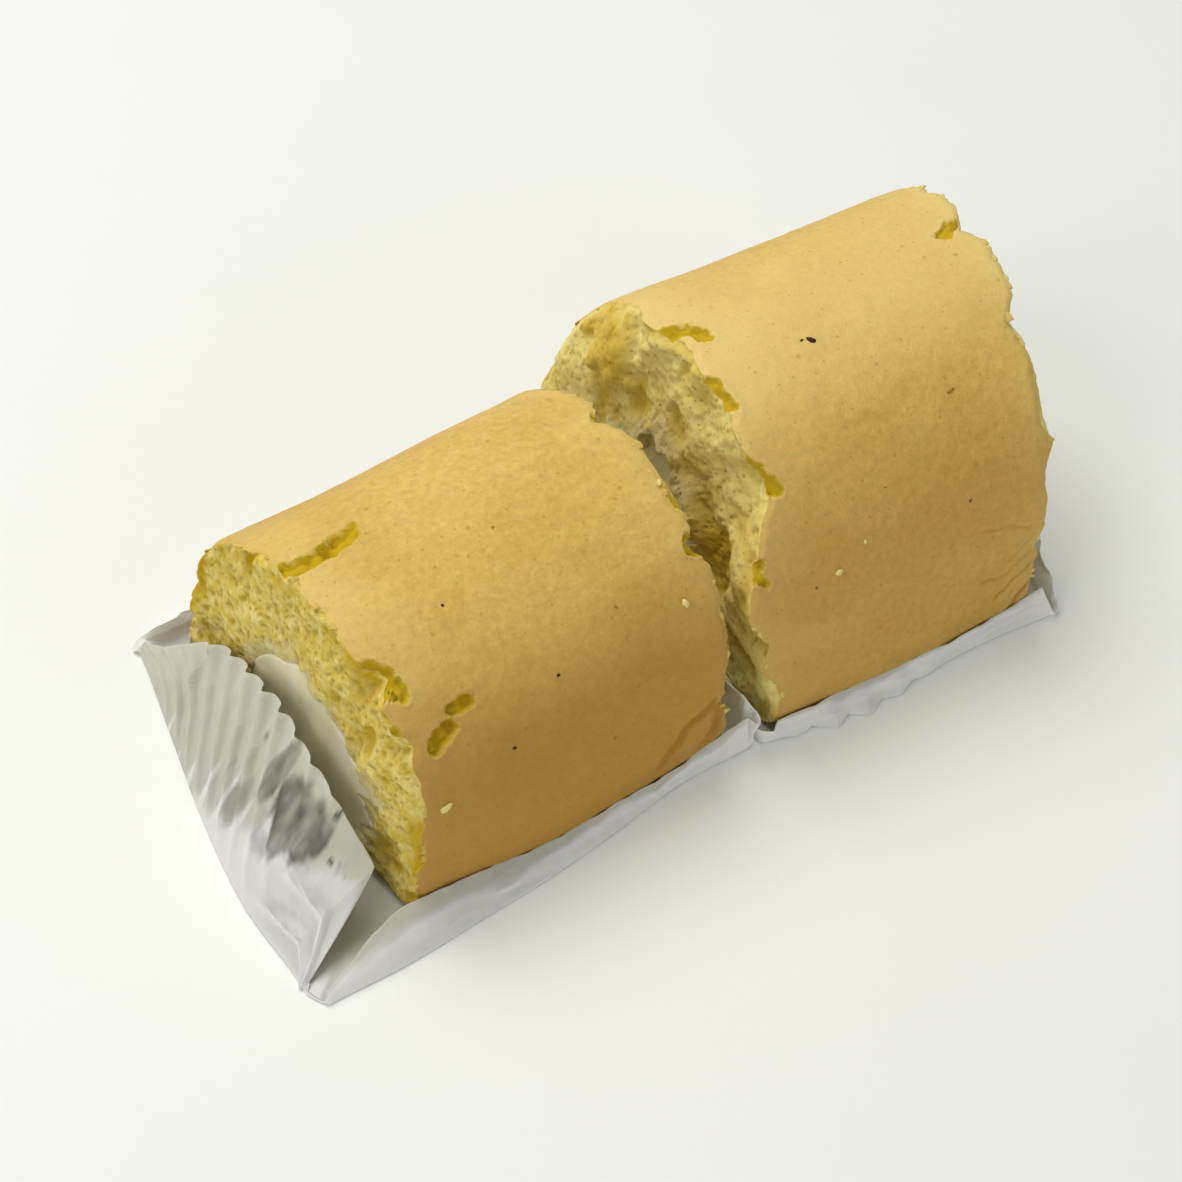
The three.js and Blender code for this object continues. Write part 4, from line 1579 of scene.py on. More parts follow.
@dataclass
class PaperCase:
    """The pleated paper case of one slice.

    fold holds the floor's corners, from the front left one on counterclockwise. dips, fill and short have a
    value for the corner after each wall: how high the paper is there, how much of a round corner it fills,
    from 0 for one cut straight to 1, and how far before the corner the wall ends. round is how far after a
    corner the next wall starts, and splay how far the corners lean out.
    """

    slice: Slice
    fold: tuple[tuple[float, float], ...]
    walls: dict[Wall, WallForm]
    dips: tuple[float, float, float, float]
    splay: float
    stains: tuple[Stain, ...] = ()
    fill: tuple[float, float, float, float] = (1.0, 1.0, 1.0, 1.0)
    short: tuple[float, float, float, float] = (2.5, 2.5, 2.5, 2.5)
    paper: float = 0.14
    round: float = 2.5
    rows: int = 28
    flute_steps: int = 18
    long_steps: int = 130
    corner_steps: int = 16

    FACING = ((0.0, -1.0), (1.0, 0.0), (0.0, 1.0), (-1.0, 0.0))
    FLOOR_RINGS = (0.25, 0.6, 0.85)
    FLOOR_DAMP = 0.5
    ROWS_GATHERED = 1.1

    # Unevenness of the flutes along a wall, which fade at its ends, and of its rim.
    FLUTE_SHIFT = 0.012
    FLUTE_SHIFTS = 7.0
    FLUTE_UNLIKE = 0.45
    FLUTE_FADE = 8.0
    RIM_RIPPLE = 0.6
    RIM_RIPPLES = 9.0
    RIDGE_DRY = 0.3
    CORNER_FADE = 6.0
    NEVER_DAMP = 1.5

    # How a wall leaves its fold and crumples on the way up.
    FLUTE_POWER = 0.8
    LEAN_POWER = 1.3
    CRUMPLE = 0.25
    CRUMPLE_SIZE = 8.0
    WRINKLE = 0.12
    WRINKLE_SIZE = 3.0

    # Creases across the plain end of the left wall: height at their start, and slope.
    CREASES = ((0.2, 0.9), (0.5, 0.5))
    CREASE_FROM = 0.8
    CREASE_TALL = 0.8
    CREASE_WIDE = 0.05
    PLAIN_DEPTH = (0.45, 0.1)

    DAMP = 0.85
    DAMP_EDGE = 0.12
    DAMP_PATCHES = Lumps(0.12, 5.0, 2)

    # Unevenness of a stain's rim and of its tone: lumps along the wall and up it, and a seed.
    STAIN_LUMPS = ((26.0, 5.0, 33), (45.0, 9.0, 35))

    def wall_rails(self, wall: Wall) -> dict[str, Array]:
        """The columns of one wall.

        Args:
            wall: which wall.

        Returns:
            Values by name, one for each column.
        """
        n, seed, form = wall.value, self.slice.seed, self.walls[wall]
        a, b = np.array(self.fold[n]), np.array(self.fold[(n + 1) % 4])
        way = (b - a) / np.linalg.norm(b - a)
        start, stop = a + way * self.round, b - way * self.short[n]
        count = form.flutes * self.flute_steps if n % 2 else self.long_steps
        f = np.arange(count) / count
        depth = smooth(form.depth, f)
        turn = form.flutes * (f + self.FLUTE_SHIFT * uneven(f * self.FLUTE_SHIFTS, n, seed))
        size = 1.0 + self.FLUTE_UNLIKE * uneven(f * form.flutes, n + 3.0, seed)
        wave = ridge(turn) * size
        fade = np.minimum(1.0, np.minimum(self.FLUTE_FADE * f, self.FLUTE_FADE * (1 - f)))
        ripple = wave + self.RIM_RIPPLE * uneven(f * self.RIM_RIPPLES, n + 5.0, seed)
        scallop = form.scallop * ripple * fade * np.clip(depth, 0.2, 1.0)
        zigzag = smooth(form.pleat, f) * (4.0 * np.abs(turn - np.round(turn)) - 1.0) * fade
        out = np.broadcast_to(self.FACING[n], (count, 2))
        drop = np.minimum(1.0, (1.0 - f) / max(1.0 - form.tip, TINY))
        return {
            "point": mix(start, stop, f[:, None]) + out * (smooth(form.bow, f) + zigzag)[:, None],
            "out": out,
            "height": smooth(form.rise, f) * drop + scallop,
            "lean": smooth(form.lean, f) * drop,
            "depth": depth,
            "zigzag": zigzag,
            "turn": turn,
            "shear": np.full(count, form.shear * form.flutes),
            "flute": depth * size * fade,
            "damp": smooth(form.damp, f) + self.RIDGE_DRY * np.maximum(0.0, wave) * (depth > 0.3),
            "along": f,
            "wall": np.full(count, n),
        }

    def corner_rails(self, wall: Wall) -> dict[str, Array]:
        """The columns of the corner after a wall.

        Args:
            wall: the wall before the corner.

        Returns:
            Values by name, one for each column.
        """
        n, count = wall.value, self.corner_steps
        a, b, c = (np.array(self.fold[(n + k) % 4]) for k in range(3))
        to_b = (b - a) / np.linalg.norm(b - a) * self.short[n]
        to_c = (c - b) / np.linalg.norm(c - b) * self.round
        before, after = self.wall_rails(wall), self.walls[Wall((n + 1) % 4)]
        f = np.arange(count) / count
        g = f[:, None]
        pull = b + (1.0 - self.fill[n]) * (to_c - to_b) / 2
        way = mix(np.array(self.FACING[n]), np.array(self.FACING[(n + 1) % 4]), g)
        swing = np.minimum(1.0, np.minimum(self.CORNER_FADE * f, self.CORNER_FADE * (1.0 - f)))
        return {
            "point": (1 - g) ** 2 * (b - to_b) + 2 * (1 - g) * g * pull + g**2 * (b + to_c),
            "out": way / np.linalg.norm(way, axis=1, keepdims=True),
            "height": mix(mix(before["height"][-1], after.rise[0], f), self.dips[n], swing),
            "lean": mix(mix(before["lean"][-1], after.lean[0], f), -self.splay * self.fill[n], swing),
            "depth": np.ones(count),
            "damp": np.full(count, self.NEVER_DAMP),
            "along": f,
            "wall": np.full(count, -1),
            **{key: np.zeros(count) for key in ("zigzag", "turn", "shear", "flute")},
        }

    def stained(self, rails: dict[str, Array], up: float) -> Array:
        """How stained the paper is at a height.

        Args:
            rails: the columns of the walls and corners.
            up: the share of the height.

        Returns:
            A share from 0 to 1 for each column.
        """
        along = rails["along"]
        ragged, blots = [layered(along * a, up * b, self.slice.seed + k, 3) for a, b, k in self.STAIN_LUMPS]
        mask = np.zeros(len(along))
        for stain in self.stains:
            on_wall = rails["wall"] == stain.wall.value
            mask = np.maximum(mask, np.where(on_wall, stain.share(along, up, ragged, blots), 0.0))
        return np.clip(mask, 0.0, 1.0)

    def floor_ring(self, body: Body, rails: dict[str, Array], share: float, thick: float) -> Array:
        """Adds one ring of the floor, at a share of the way out, and gives its vertices' numbers."""
        flat = np.column_stack([rails["point"] * share, np.full(len(rails["point"]), thick)])
        return body.add(self.slice.in_row(flat), damp=self.FLOOR_DAMP)

    def wall_ring(self, body: Body, rails: dict[str, Array], up: float, thick: float) -> Array:
        """Adds one ring round the walls, at a share of their height, set in by a thickness.

        Args:
            body: takes the vertices.
            rails: the columns of the walls and corners.
            up: the share of the height.
            thick: how far the ring is set in.

        Returns:
            The vertices' numbers.
        """
        out, seed = rails["out"], self.slice.seed
        flute = rails["flute"] * ridge(rails["turn"] - rails["shear"] * (1.0 - up))
        lean = rails["lean"] * up**self.LEAN_POWER
        step = flute * up**self.FLUTE_POWER - lean - rails["zigzag"] * up - thick
        flat = rails["point"] + out * step[:, None]
        x, y = flat[:, 0], flat[:, 1]
        crossed = uneven(x / self.CRUMPLE_SIZE, y / self.CRUMPLE_SIZE + 2.0 * up, seed + 25)
        folds = 1.0 - 2.0 * np.abs(crossed)
        wrinkles = uneven(x / self.WRINKLE_SIZE, y / self.WRINKLE_SIZE + 3.0 * up, 4.0)
        crumple = (self.CRUMPLE * folds + self.WRINKLE * wrinkles) * min(1.0, 3.0 * up)
        plain = ease(*self.PLAIN_DEPTH, rails["depth"]) * (rails["wall"] == Wall.LEFT.value)
        past = rails["along"] - self.CREASE_FROM
        creases = sum(tooth((up - at - slope * past) / self.CREASE_WIDE) for at, slope in self.CREASES)
        creased = self.CREASE_TALL * creases * plain * ease(-0.1, 0.05, past)
        flat = flat + out * (crumple + creased)[:, None]
        points = np.column_stack([flat, mix(thick, rails["height"], up)])
        patchy = self.DAMP_PATCHES.at(x, y, 3.0 * up)
        damp = self.DAMP * ease(-self.DAMP_EDGE, self.DAMP_EDGE, up - rails["damp"] + patchy)
        return body.add(self.slice.in_row(points), damp=damp, stain=self.stained(rails, up))

    def build(self, material: bpy.types.Material) -> bpy.types.Object:
        """Makes the case's mesh: a floor and its walls, as one thin closed sheet.

        Args:
            material: the paper's finish.

        Returns:
            The piece.
        """
        stretches = [make(wall) for wall in Wall for make in (self.wall_rails, self.corner_rails)]
        rails = {key: np.concatenate([s[key] for s in stretches]) for key in stretches[0]}
        body = Body("damp", "stain")
        ups = np.linspace(0.0, 1.0, self.rows + 1) ** self.ROWS_GATHERED
        inside = [self.floor_ring(body, rails, share, self.paper) for share in self.FLOOR_RINGS]
        inside += [self.wall_ring(body, rails, up, self.paper) for up in ups]
        outside = [self.wall_ring(body, rails, up, 0.0) for up in ups[::-1]]
        outside += [self.floor_ring(body, rails, share, 0.0) for share in self.FLOOR_RINGS[::-1]]
        numbers = np.stack(inside + outside)
        body.quads(np.concatenate([numbers, numbers[:, :1]], 1))
        body.polygons(numbers[0])
        body.polygons(numbers[-1][::-1])
        name = self.slice.name
        return body.piece(f"paper_case_{name}", material, "paper", (f"case_{name}",))


@dataclass
class SkinRags:
    """Thin rags of skin that stand off the cut edges of one slice, each of a chance form between limits."""

    sheet: SpongeSheet
    count: int = 14
    inset: float = 0.8
    thick: float = 0.2
    middles: tuple[float, float] = (0.2, 0.8)
    widths: tuple[float, float] = (0.003, 0.010)
    reaches: tuple[float, float] = (0.05, 0.6)
    lifts: tuple[float, float] = (-0.35, 0.08)
    skews: tuple[float, float] = (-0.7, 0.7)

    STEPS = (9, 6)
    TAPER = 0.65
    ROOT_SUNK = 0.35
    SIDES_SUNK = 0.12
    UNDERSIDE = {"crumb": 1.0, "torn": 0.6}
    TEAR_AT_CUT = 0.05
    TEAR_CLEAR = 0.015

    def torn_out(self, cut: Cut, u: float) -> bool:
        """Whether a tear runs out at a place of a cut's edge.

        Args:
            cut: whose edge.
            u: share of the way round the sheet.

        Returns:
            True if there is no skin to hold a rag.
        """
        for tear in self.sheet.slice.tears:
            at_cut = min(abs(t - cut.value) for _, t in (tear.start, tear.stop)) < self.TEAR_AT_CUT
            low, high = sorted((tear.start[0], tear.stop[0]))
            if at_cut and low - self.TEAR_CLEAR < u < high + self.TEAR_CLEAR:
                return True
        return False

    def rag(self, body: Body, cut: Cut, rng: np.random.Generator) -> None:
        """Adds one rag at a chance place of a cut's edge.

        Args:
            body: takes the vertices and faces.
            cut: whose edge.
            rng: the source of chance.
        """
        form = self.sheet.slice
        limits = (self.middles, self.widths, self.reaches, self.lifts, self.skews)
        middle, wide, reach, lift, skew = [rng.uniform(low, high) for low, high in limits]
        if self.torn_out(cut, middle):
            return
        sideways, outwards = self.STEPS
        a, b = np.meshgrid(np.linspace(-1.0, 1.0, sideways), np.linspace(0.0, 1.0, outwards), indexing="ij")
        ragged = 0.3 + 0.7 * jagged(a * 3.0 + 9.0, middle)
        u = middle + wide * (a * (1.0 - self.TAPER * b) + skew * b)
        y, z = form.surface(u, 0.0, float(cut.value))
        edge = self.sheet.end(cut, u, 0.0, y, z).mean()
        x = edge + cut.inward * (self.inset - b * (self.inset + reach * ragged))
        size = np.hypot(y, z - form.shoulder)
        root = -self.ROOT_SUNK * (1.0 - b) ** 2 - self.SIDES_SUNK * a**2
        sides = []
        # The rags' top side takes the slice's pale share, partly a painted highlight.
        for level, masks in ((0.0, {"pale": form.pale}), (-self.thick, self.UNDERSIDE)):
            off = (level + root + lift * b**2) / size
            points = np.stack([x, y + y * off, z + (z - form.shoulder) * off], -1)
            sides.append(body.add(form.in_row(points), **masks)[:: int(cut.inward)])
        top, under = sides
        body.quads(top)
        body.quads(under[::-1])
        rims = [np.concatenate([s[:, 0], s[-1, 1:], s[-2::-1, -1], s[0, -2::-1]]) for s in sides]
        body.quads(np.stack(rims))

    def build(self, material: bpy.types.Material) -> bpy.types.Object:
        """Makes one mesh of all the rags.

        Args:
            material: the sponge's finish.

        Returns:
            The piece.
        """
        rng = np.random.default_rng(int(self.sheet.slice.seed))
        body = Body(*SPONGE_MASKS)
        for cut in Cut:
            for _ in range(self.count):
                self.rag(body, cut, rng)
        return body.piece(f"skin_rags_{self.sheet.slice.name}", material, "sponge")


@dataclass(frozen=True)
class Bit:
    """A loose bit on the skin, at a share of the way round the sheet and along the slice."""

    slice: Slice
    u: float
    t: float
    long: float
    wide: float
    turn: float


@dataclass
class LooseBits:
    """Loose bits of one kind that lie on the skins, such as pale crumbs or burnt specks."""

    name: str
    bits: tuple[Bit, ...]
    tall: float
    masks: dict[str, float]

    LUMPY = 0.45
    LUMPS = 1.6
    LUMPS_APART = 2.7
    STANDS = 0.6
    STEP_ALONG = 0.01
    STEP_ROUND = 0.004

    def build(self, material: bpy.types.Material) -> bpy.types.Object:
        """Makes one mesh of all the bits.

        Args:
            material: the sponge's finish.

        Returns:
            The piece.
        """
        ball = bmesh.new()
        bmesh.ops.create_icosphere(ball, subdivisions=2, radius=1.0)
        shape = np.array([v.co for v in ball.verts])
        faces = np.array([[v.index for v in f.verts] for f in ball.faces])
        ball.free()
        body = Body(*SPONGE_MASKS)
        for number, bit in enumerate(self.bits):
            lumps = uneven(*(shape.T * self.LUMPS + number * self.LUMPS_APART))
            lumpy = shape * (1.0 + self.LUMPY * lumps[:, None])
            lumpy = lumpy * (bit.long / 2, bit.wide / 2, bit.wide / 2 * self.tall)
            numbers = body.add(bit.slice.in_row(self.laid(bit, lumpy)), **self.masks)
            body.polygons(numbers[faces])
        return body.piece(self.name, material, "sponge")

    def laid(self, bit: Bit, points: Array) -> Array:
        """Lays a bit on its slice's skin.

        Args:
            bit: the bit.
            points: its points, with its middle at 0 and z up.

        Returns:
            The points in the slice's frame.
        """
        origin = bit.slice.skin_point(bit.u, bit.t)
        along = bit.slice.skin_point(bit.u, bit.t + self.STEP_ALONG) - origin
        along /= np.linalg.norm(along)
        out = np.cross(along, bit.slice.skin_point(bit.u + self.STEP_ROUND, bit.t) - origin)
        out /= np.linalg.norm(out)
        c, s = math.cos(math.radians(bit.turn)), math.sin(math.radians(bit.turn))
        across = np.cross(out, along)
        axes = np.stack([c * along + s * across, c * across - s * along, out])
        return origin + points @ axes + out * points[:, 2].max() * self.STANDS


@dataclass(frozen=True)
class Lamp:
    """A round soft light aimed at the roll, in metres and watts."""

    name: str
    place: tuple[float, float, float]
    size: float
    power: float


@dataclass
class Studio:
    """Floor, soft light and the camera at the photograph's viewing angle."""

    eye_mm: tuple[float, float, float] = (-206.97, -230.07, 329.9)
    pitch: float = 46.29
    yaw: float = 51.8
    roll: float = 3.28
    focal_px: float = 1491.0
    frame_px: float = 1182.0
    aim_px: tuple[float, float] = (648.0, 595.0)
    zoom: float = 1.9
    sensor_mm: float = 36.0
    clip_m: tuple[float, float] = (0.01, 20.0)
    floor_m: float = 6.0
    floor_drop_mm: float = 0.2
    lamps: tuple[Lamp, ...] = (
        Lamp("overhead", (-0.05, 0.50, 0.90), 0.8, 7.6),
        Lamp("left_fill", (-0.85, -0.05, 0.72), 0.7, 3.0),
        Lamp("front_fill", (0.15, -1.05, 0.28), 0.8, 2.0),
    )
    lamp_tint: Colour = (1.0, 0.985, 0.955)
    surround_tint: Colour = (0.98, 0.975, 0.975)
    surround_strength: float = 0.28

    def floor(self, material: bpy.types.Material) -> None:
        """Makes the plain floor that the cases stand on.

        Args:
            material: the floor's finish.
        """
        half = self.floor_m / 2
        corners = [(-half, -half, 0), (half, -half, 0), (half, half, 0), (-half, half, 0)]
        mesh = bpy.data.meshes.new("floor")
        mesh.from_pydata(corners, [], [(0, 1, 2, 3)])
        mesh.materials.append(material)
        plane = bpy.data.objects.new("floor", mesh)
        plane.location.z = -self.floor_drop_mm * MM
        bpy.context.scene.collection.objects.link(plane)

    def light(self) -> None:
        """Makes a wide overhead light, two weak fills and a pale surround."""
        for lamp in self.lamps:
            data = bpy.data.lights.new(lamp.name, "AREA")
            data.shape, data.size, data.energy = "DISK", lamp.size, lamp.power
            data.color = self.lamp_tint
            holder = bpy.data.objects.new(lamp.name, data)
            holder.location = lamp.place
            holder.rotation_euler = (-Vector(lamp.place)).to_track_quat("-Z", "Y").to_euler()
            bpy.context.scene.collection.objects.link(holder)
        world = bpy.data.worlds.new("surround")
        world.use_nodes = True
        back = world.node_tree.nodes["Background"]
        back.inputs["Color"].default_value = (*self.surround_tint, 1.0)
        back.inputs["Strength"].default_value = self.surround_strength
        bpy.context.scene.world = world

    def camera(self) -> None:
        """Makes the camera: the photograph's eye point, aimed at the roll with a longer lens."""
        pitch, yaw, roll = (math.radians(a) for a in (self.pitch, self.yaw, self.roll))
        ahead = Vector((math.cos(yaw) * math.cos(pitch), math.sin(yaw) * math.cos(pitch), -math.sin(pitch)))
        level = Vector((math.sin(yaw), -math.cos(yaw), 0.0))
        right = Matrix.Rotation(-roll, 3, ahead) @ level
        up = right.cross(ahead)
        off_x, off_y = ((aim - self.frame_px / 2) / self.focal_px for aim in self.aim_px)
        look = (ahead + right * off_x - up * off_y).normalized()
        side = look.cross(up).normalized()
        turn = Matrix((side, side.cross(look), -look)).transposed().to_4x4()
        data = bpy.data.cameras.new("camera")
        data.sensor_width = self.sensor_mm
        data.lens = self.focal_px * self.zoom / self.frame_px * self.sensor_mm
        data.clip_start, data.clip_end = self.clip_m
        camera = bpy.data.objects.new("camera", data)
        camera.matrix_world = Matrix.Translation(Vector(self.eye_mm) * MM) @ turn
        bpy.context.scene.collection.objects.link(camera)
        bpy.context.scene.camera = camera

    def colours(self) -> None:
        """Shows colours plainly, with no film look."""
        bpy.context.scene.view_settings.view_transform = "Standard"


LEFT_SLICE = Slice(
    name="left",
    at=(-30.268, -0.768),
    turn=0.0,
    seed=3,
    length=56,
    width=61,
    height=42.5,
    shoulder=13,
    sheet=18,
    base=5,
    rise=0.055,
    skew=0.5,
    hem=(0.8, 2.2, 0.9),
    ends=(End(shift=-1.5, per_z=0.05), End()),
    notches=(
        Notch(Cut.LEFT, 0.615, 1.2, 0.016),
        Notch(Cut.LEFT, 0.49, 2.2, 0.014),
        Notch(Cut.LEFT, 0.43, 1.8, 0.012),
        Notch(Cut.RIGHT, 0.605, 2.4, 0.014),
        Notch(Cut.RIGHT, 0.46, 1.8, 0.014),
        Notch(Cut.RIGHT, 0.29, 1.6, 0.02),
    ),
    tears=(
        Tear((0.624, -0.02), (0.616, 0.15), 3.2, 1.4),
        Tear((0.617, 0.12), (0.634, 0.24), 2.8, 1.5),
        Tear((0.414, 0.08), (0.430, 0.170), 2.6, 1.4),
        Tear((0.434, 0.165), (0.441, 0.240), 2.2, 1.3),
        Tear((0.506, -0.01), (0.469, 0.085), 2.8, 1.1),
        Tear((0.480, 0.00), (0.470, 0.060), 1.4, 1.0),
        Tear((0.452, -0.01), (0.422, 0.030), 2.4, 1.2),
        Tear((0.612, 0.95), (0.600, 1.01), 1.3, 1.1),
        Tear((0.472, 0.95), (0.448, 0.975), 1.4, 1.1),
    ),
    creases=(
        Crease((0.200, 0.76), (0.316, 0.955), 0.7, 0.35, 1.7),
        Crease((0.200, 0.90), (0.300, 0.965), 1.0, 0.30, 1.7),
        Crease((0.190, 0.85), (0.200, 1.01), 0.8, 0.22, 1.5),
        Crease((0.225, 0.92), (0.270, 1.01), 0.6, 0.28, 0.9),
        Crease((0.165, 0.20), (0.170, 0.75), 0.8, 0.10, 0.35),
    ),
    hollows=(
        Hollow(Cut.LEFT, -16.3, 25.7, 1.8, 3.2, 0.9, 0.85),
        Hollow(Cut.LEFT, -21.0, 33.5, 3.4, 1.8, 0.6, 0.90),
        Hollow(Cut.LEFT, 15.2, 35.2, 1.2, 3.4, 0.8, 0.85),
        Hollow(Cut.LEFT, -24.0, 8.0, 4.0, 3.0, 0.8, 0.60),
    ),
    smears=(
        Smear(Cut.LEFT, 0.27, 0.11, -0.38),
        Smear(Cut.LEFT, 0.59, 0.03, -0.12),
    ),
    tan=0.70,
    lumps=0.6,
)

RIGHT_SLICE = Slice(
    name="right",
    at=(35.232, -0.268),
    turn=-4.0,
    seed=8,
    length=55,
    width=68,
    height=50.5,
    shoulder=16,
    sheet=18,
    base=6,
    rise=0.01,
    skew=1.5,
    hem=(1.8, 2.5, 1.0),
    ends=(End(per_z=0.06, foot=0.8, bulge=-6.0), End(shift=2.2, per_y=0.16, per_z=0.06)),
    notches=(
        Notch(Cut.LEFT, 0.630, -2.2, 0.020),
        Notch(Cut.LEFT, 0.535, 1.4, 0.016),
        Notch(Cut.LEFT, 0.46, 1.6, 0.016),
        Notch(Cut.LEFT, 0.33, 2.6, 0.018),
        Notch(Cut.LEFT, 0.72, 3.2, 0.09),
        Notch(Cut.RIGHT, 0.6, 2.2, 0.014),
        Notch(Cut.RIGHT, 0.395, -2.2, 0.012),
        Notch(Cut.RIGHT, 0.5, 1.6, 0.018),
    ),
    tears=(
        Tear((0.616, -0.04), (0.592, 0.125), 3.0, 1.2),
        Tear((0.558, -0.02), (0.522, 0.035), 3.6, 1.2),
        Tear((0.482, -0.02), (0.447, 0.075), 2.8, 1.2),
        Tear((0.405, -0.01), (0.385, 0.030), 2.0, 1.2),
        Tear((0.597, 0.86), (0.606, 1.000), 2.4, 0.8),
    ),
    creases=(
        Crease((0.340, 0.74), (0.332, 0.96), 0.45, 0.11, 0.5),
        Crease((0.265, 0.76), (0.300, 0.98), 0.45, 0.14, 0.6),
        Crease((0.285, 0.84), (0.318, 0.97), 0.40, 0.11, 0.5),
        Crease((0.230, 0.82), (0.272, 1.00), 0.45, 0.16, 0.7),
        Crease((0.165, 0.84), (0.244, 1.00), 0.50, 0.20, 1.0),
        Crease((0.180, 0.89), (0.208, 1.00), 0.45, 0.18, 1.1),
        Crease((0.165, 0.40), (0.172, 0.80), 0.80, 0.10, 0.35),
    ),
    hollows=(
        Hollow(Cut.LEFT, -15.0, 21.0, 6.5, 8.0, 1.2, 0.75),
        Hollow(Cut.LEFT, -25.0, 11.0, 5.0, 2.6, 1.2, 0.70),
        Hollow(Cut.LEFT, 17.0, 38.5, 8.0, 7.0, -1.6, 0.7),
        Hollow(Cut.LEFT, 9.0, 33.5, 4.0, 2.0, 0.8, 0.60),
    ),
    # pale lightens the top of this slice's skin, partly as a painted highlight.
    pale=0.6,
    # crumb_pale_and_painted_light lightens this slice's crumb as painted light, its left cut lying in the
    # shade of the left slice.
    crumb_pale_and_painted_light=0.6,
    # Weaker pore shade on this slice is painted light on crumb in the shade of the left slice.
    pore_shade=0.25,
    rind=0.4,
    smears=(
        Smear(Cut.LEFT, 0.44, 0.10, 0.45),
        Smear(Cut.LEFT, 0.575, 0.035, 0.08),
        Smear(Cut.LEFT, 0.70, 0.05, 0.20),
    ),
)

LEFT_CASE = PaperCase(
    LEFT_SLICE,
    fold=((-50, -36), (32.7, -32.5), (30, 36), (-34.5, 38)),
    walls={
        Wall.FRONT: WallForm(
            rise=(1.6, 5.5, 5.4, 4, 4.1, 3.6, 6),
            lean=(1, 5.1, 4.3, 3.2, 1.8, 0.8, 1.3),
            bow=(0, 1.1, 1.2, 1.2, 0.4, -0.8, 0),
            depth=(0.15, 0.15),
            scallop=0.2,
            damp=(0.85, 0.7, 0.65, 0.7, 0.85),
        ),
        Wall.RIGHT: WallForm((9, 11.7, 13, 11.1, 5), (0.6, 0.5, 0.4, 0.5, 0.6), (0.5, 0.5), 0.5),
        Wall.BACK: WallForm((4, 6.6, 8, 6.5, 3.5), (1.5, 2.6, 3.2, 2.6, 1.5), (0.3, 0.3), 0.3),
        Wall.LEFT: WallForm(
            rise=(2.6, 15, 19.3, 16.8, 8.5),
            lean=(1, 8.9, 12.8, 14.8, 15.5),
            bow=(0, 1.3, 2.6, 2.6, 0),
            depth=(0.6, 1.0, 1.1, 0.35, 0.0),
            scallop=0.35,
            damp=(-0.3, -0.2, 0.12, 0.5, 1.0),
            shear=0.22,
            tip=0.92,
        ),
    },
    dips=(6.0, 0.2, 0.2, 0.2),
    fill=(1.0, 1.0, 1.0, 0.1),
    splay=1.0,
    short=(0.8, 2.5, 2.5, 4.5),
    stains=(
        Stain(Wall.LEFT, 0.73, 0.73, 0.085, 0.24, 0.95),
        Stain(Wall.LEFT, 0.63, 0.80, 0.024, 0.22, 0.9),
        Stain(Wall.LEFT, 0.57, 0.38, 0.05, 0.18, 0.5),
        Stain(Wall.LEFT, 0.69, 0.42, 0.03, 0.09, 0.5),
        Stain(Wall.LEFT, 0.80, 0.97, 0.007, 0.03, 2.0),
        Stain(Wall.LEFT, 0.85, 0.76, 0.007, 0.025, 2.0),
    ),
)

RIGHT_CASE = PaperCase(
    RIGHT_SLICE,
    fold=((-29.3, -36), (29.5, -37), (42.5, 37.5), (-30.5, 37.5)),
    walls={
        Wall.FRONT: WallForm(
            rise=(4.6, 4.7, 4.7, 4.8, 4.7, 4.3, 5),
            lean=(0.3, 1.6, 2.3, 0.8, 0.3, 1.3, 2.2),
            bow=(0, 1.8, 2.2, 0.8, -0.2, -0.4, 0),
            depth=(0.2, 0.15),
            scallop=0.1,
            damp=(0.9, 0.8, 0.8, 0.9),
            pleat=(0.9, 1.0, 0.7, 0.1, 0.0, 0.0),
            flutes=8,
        ),
        Wall.RIGHT: WallForm((6, 14, 17, 13.7, 3.5), (0.6, 1, 1.2, 1.3, 1.5), (0.8, 0.8), 0.7),
        Wall.BACK: WallForm((3.5, 6.6, 8, 6.6, 3.5), (1, 1.7, 2, 1.7, 1), (0.3, 0.3), 0.3),
        Wall.LEFT: WallForm((3.5, 8.3, 10, 8.2, 3), (0.6, 0.7, 0.8, 0.7, 0.6), (0.5, 0.5), 0.5),
    },
    dips=(1.0, 1.0, 1.0, 3.8),
    splay=1.0,
    stains=(Stain(Wall.RIGHT, 0.4, 0.7, 0.14, 0.4, 0.7),),
)

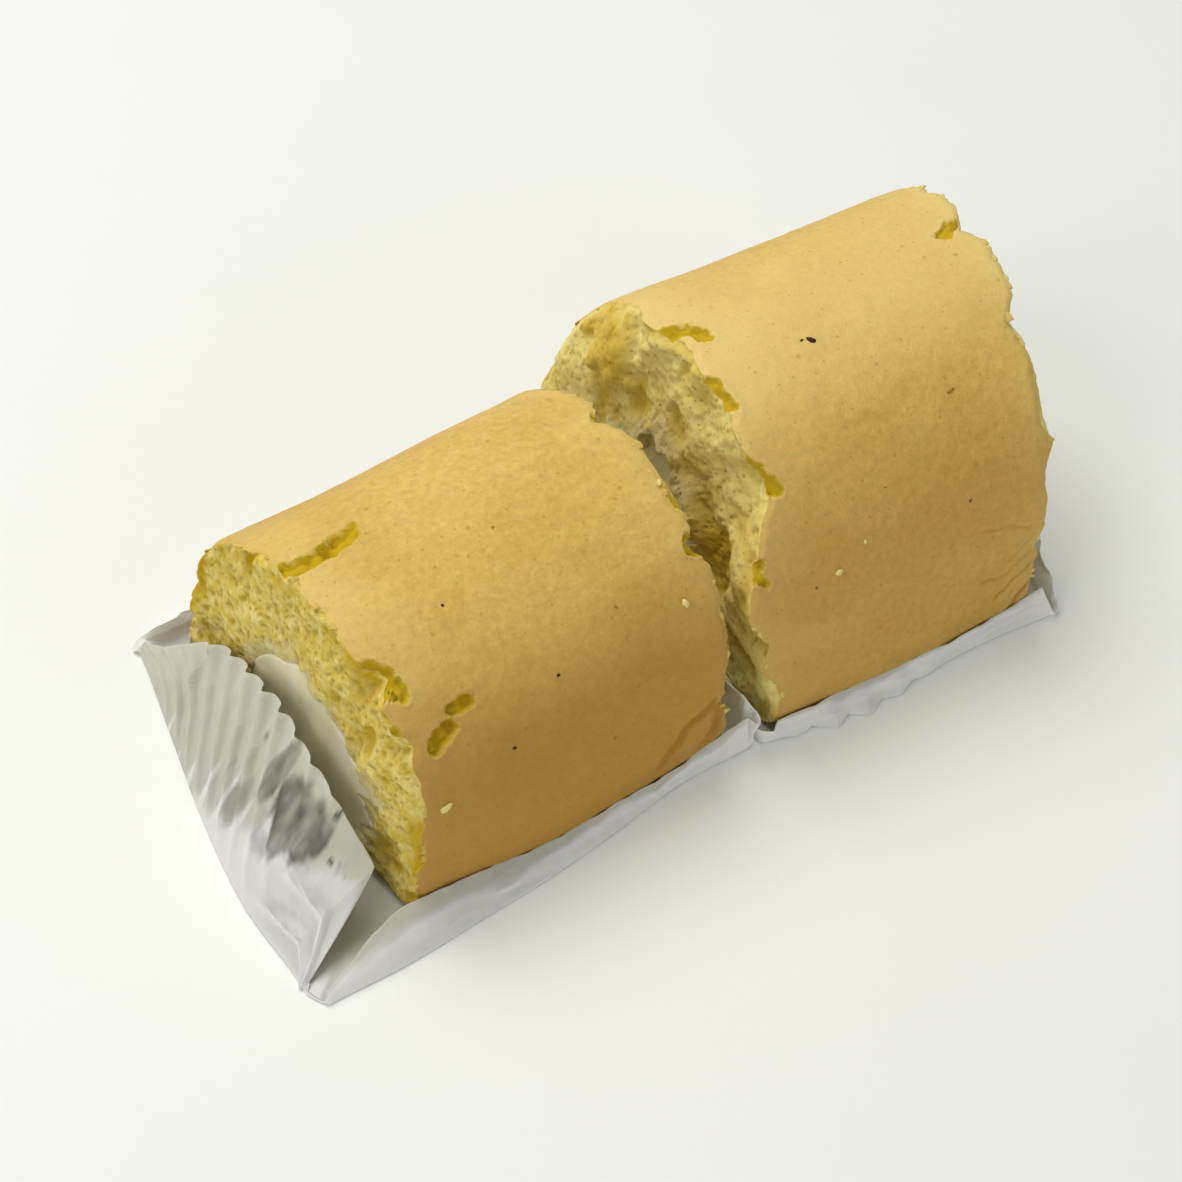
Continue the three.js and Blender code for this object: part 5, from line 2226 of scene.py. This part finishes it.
PALE_CRUMBS = LooseBits(
    "pale_crumbs",
    (
        Bit(LEFT_SLICE, 0.360, 0.09, 2.2, 1.0, 10),
        Bit(LEFT_SLICE, 0.420, 0.89, 0.9, 1.6, 20),
        Bit(LEFT_SLICE, 0.520, 0.97, 1.0, 0.8, 60),
        Bit(RIGHT_SLICE, 0.370, 0.28, 1.4, 0.9, 20),
        Bit(RIGHT_SLICE, 0.385, 0.36, 0.8, 0.6, 70),
    ),
    tall=0.6,
    masks={"crumb": 1.0, "pale": 1.0},
)

BURNT_SPECKS = LooseBits(
    "burnt_specks",
    (
        Bit(LEFT_SLICE, 0.52, 0.28, 0.5, 0.5, 0),
        Bit(LEFT_SLICE, 0.42, 0.48, 0.6, 0.5, 0),
        Bit(LEFT_SLICE, 0.38, 0.31, 0.6, 0.5, 0),
        Bit(RIGHT_SLICE, 0.55, 0.34, 1.5, 0.9, -40),
        Bit(RIGHT_SLICE, 0.553, 0.315, 0.6, 0.4, 0),
    ),
    tall=0.25,
    masks={"burnt": 1.0},
)

BROWN_SPECKS = LooseBits(
    "brown_specks",
    (
        Bit(RIGHT_SLICE, 0.469, 0.68, 1.6, 0.6, 10),
        Bit(RIGHT_SLICE, 0.575, 0.30, 0.5, 0.4, 0),
        Bit(RIGHT_SLICE, 0.420, 0.42, 0.6, 0.5, 30),
        Bit(LEFT_SLICE, 0.447, 0.70, 0.5, 0.8, 20),
        Bit(LEFT_SLICE, 0.560, 0.52, 0.5, 0.5, 0),
        Bit(LEFT_SLICE, 0.330, 0.62, 0.6, 0.5, 50),
    ),
    tall=0.15,
    masks={"brown": 1.0},
)


def main() -> None:
    """Builds the finishes, the two slices in their cases, the loose bits and the studio."""
    logging.basicConfig(level=logging.INFO, format="%(name)s: %(message)s")
    palette = Palette()
    sponge = SpongeFinish().material(palette)
    cream = CreamFinish().material(palette)
    paper = PaperFinish().material(palette)
    for form, case in ((LEFT_SLICE, LEFT_CASE), (RIGHT_SLICE, RIGHT_CASE)):
        sheet = SpongeSheet(form)
        sheet.build(sponge)
        SkinRags(sheet).build(sponge)
        CreamCore(form).build(cream)
        case.build(paper)
    for bits in (PALE_CRUMBS, BURNT_SPECKS, BROWN_SPECKS):
        bits.build(sponge)
    studio = Studio()
    studio.floor(FloorFinish().material(palette))
    studio.light()
    studio.camera()
    studio.colours()


if __name__ == "__main__":
    main()
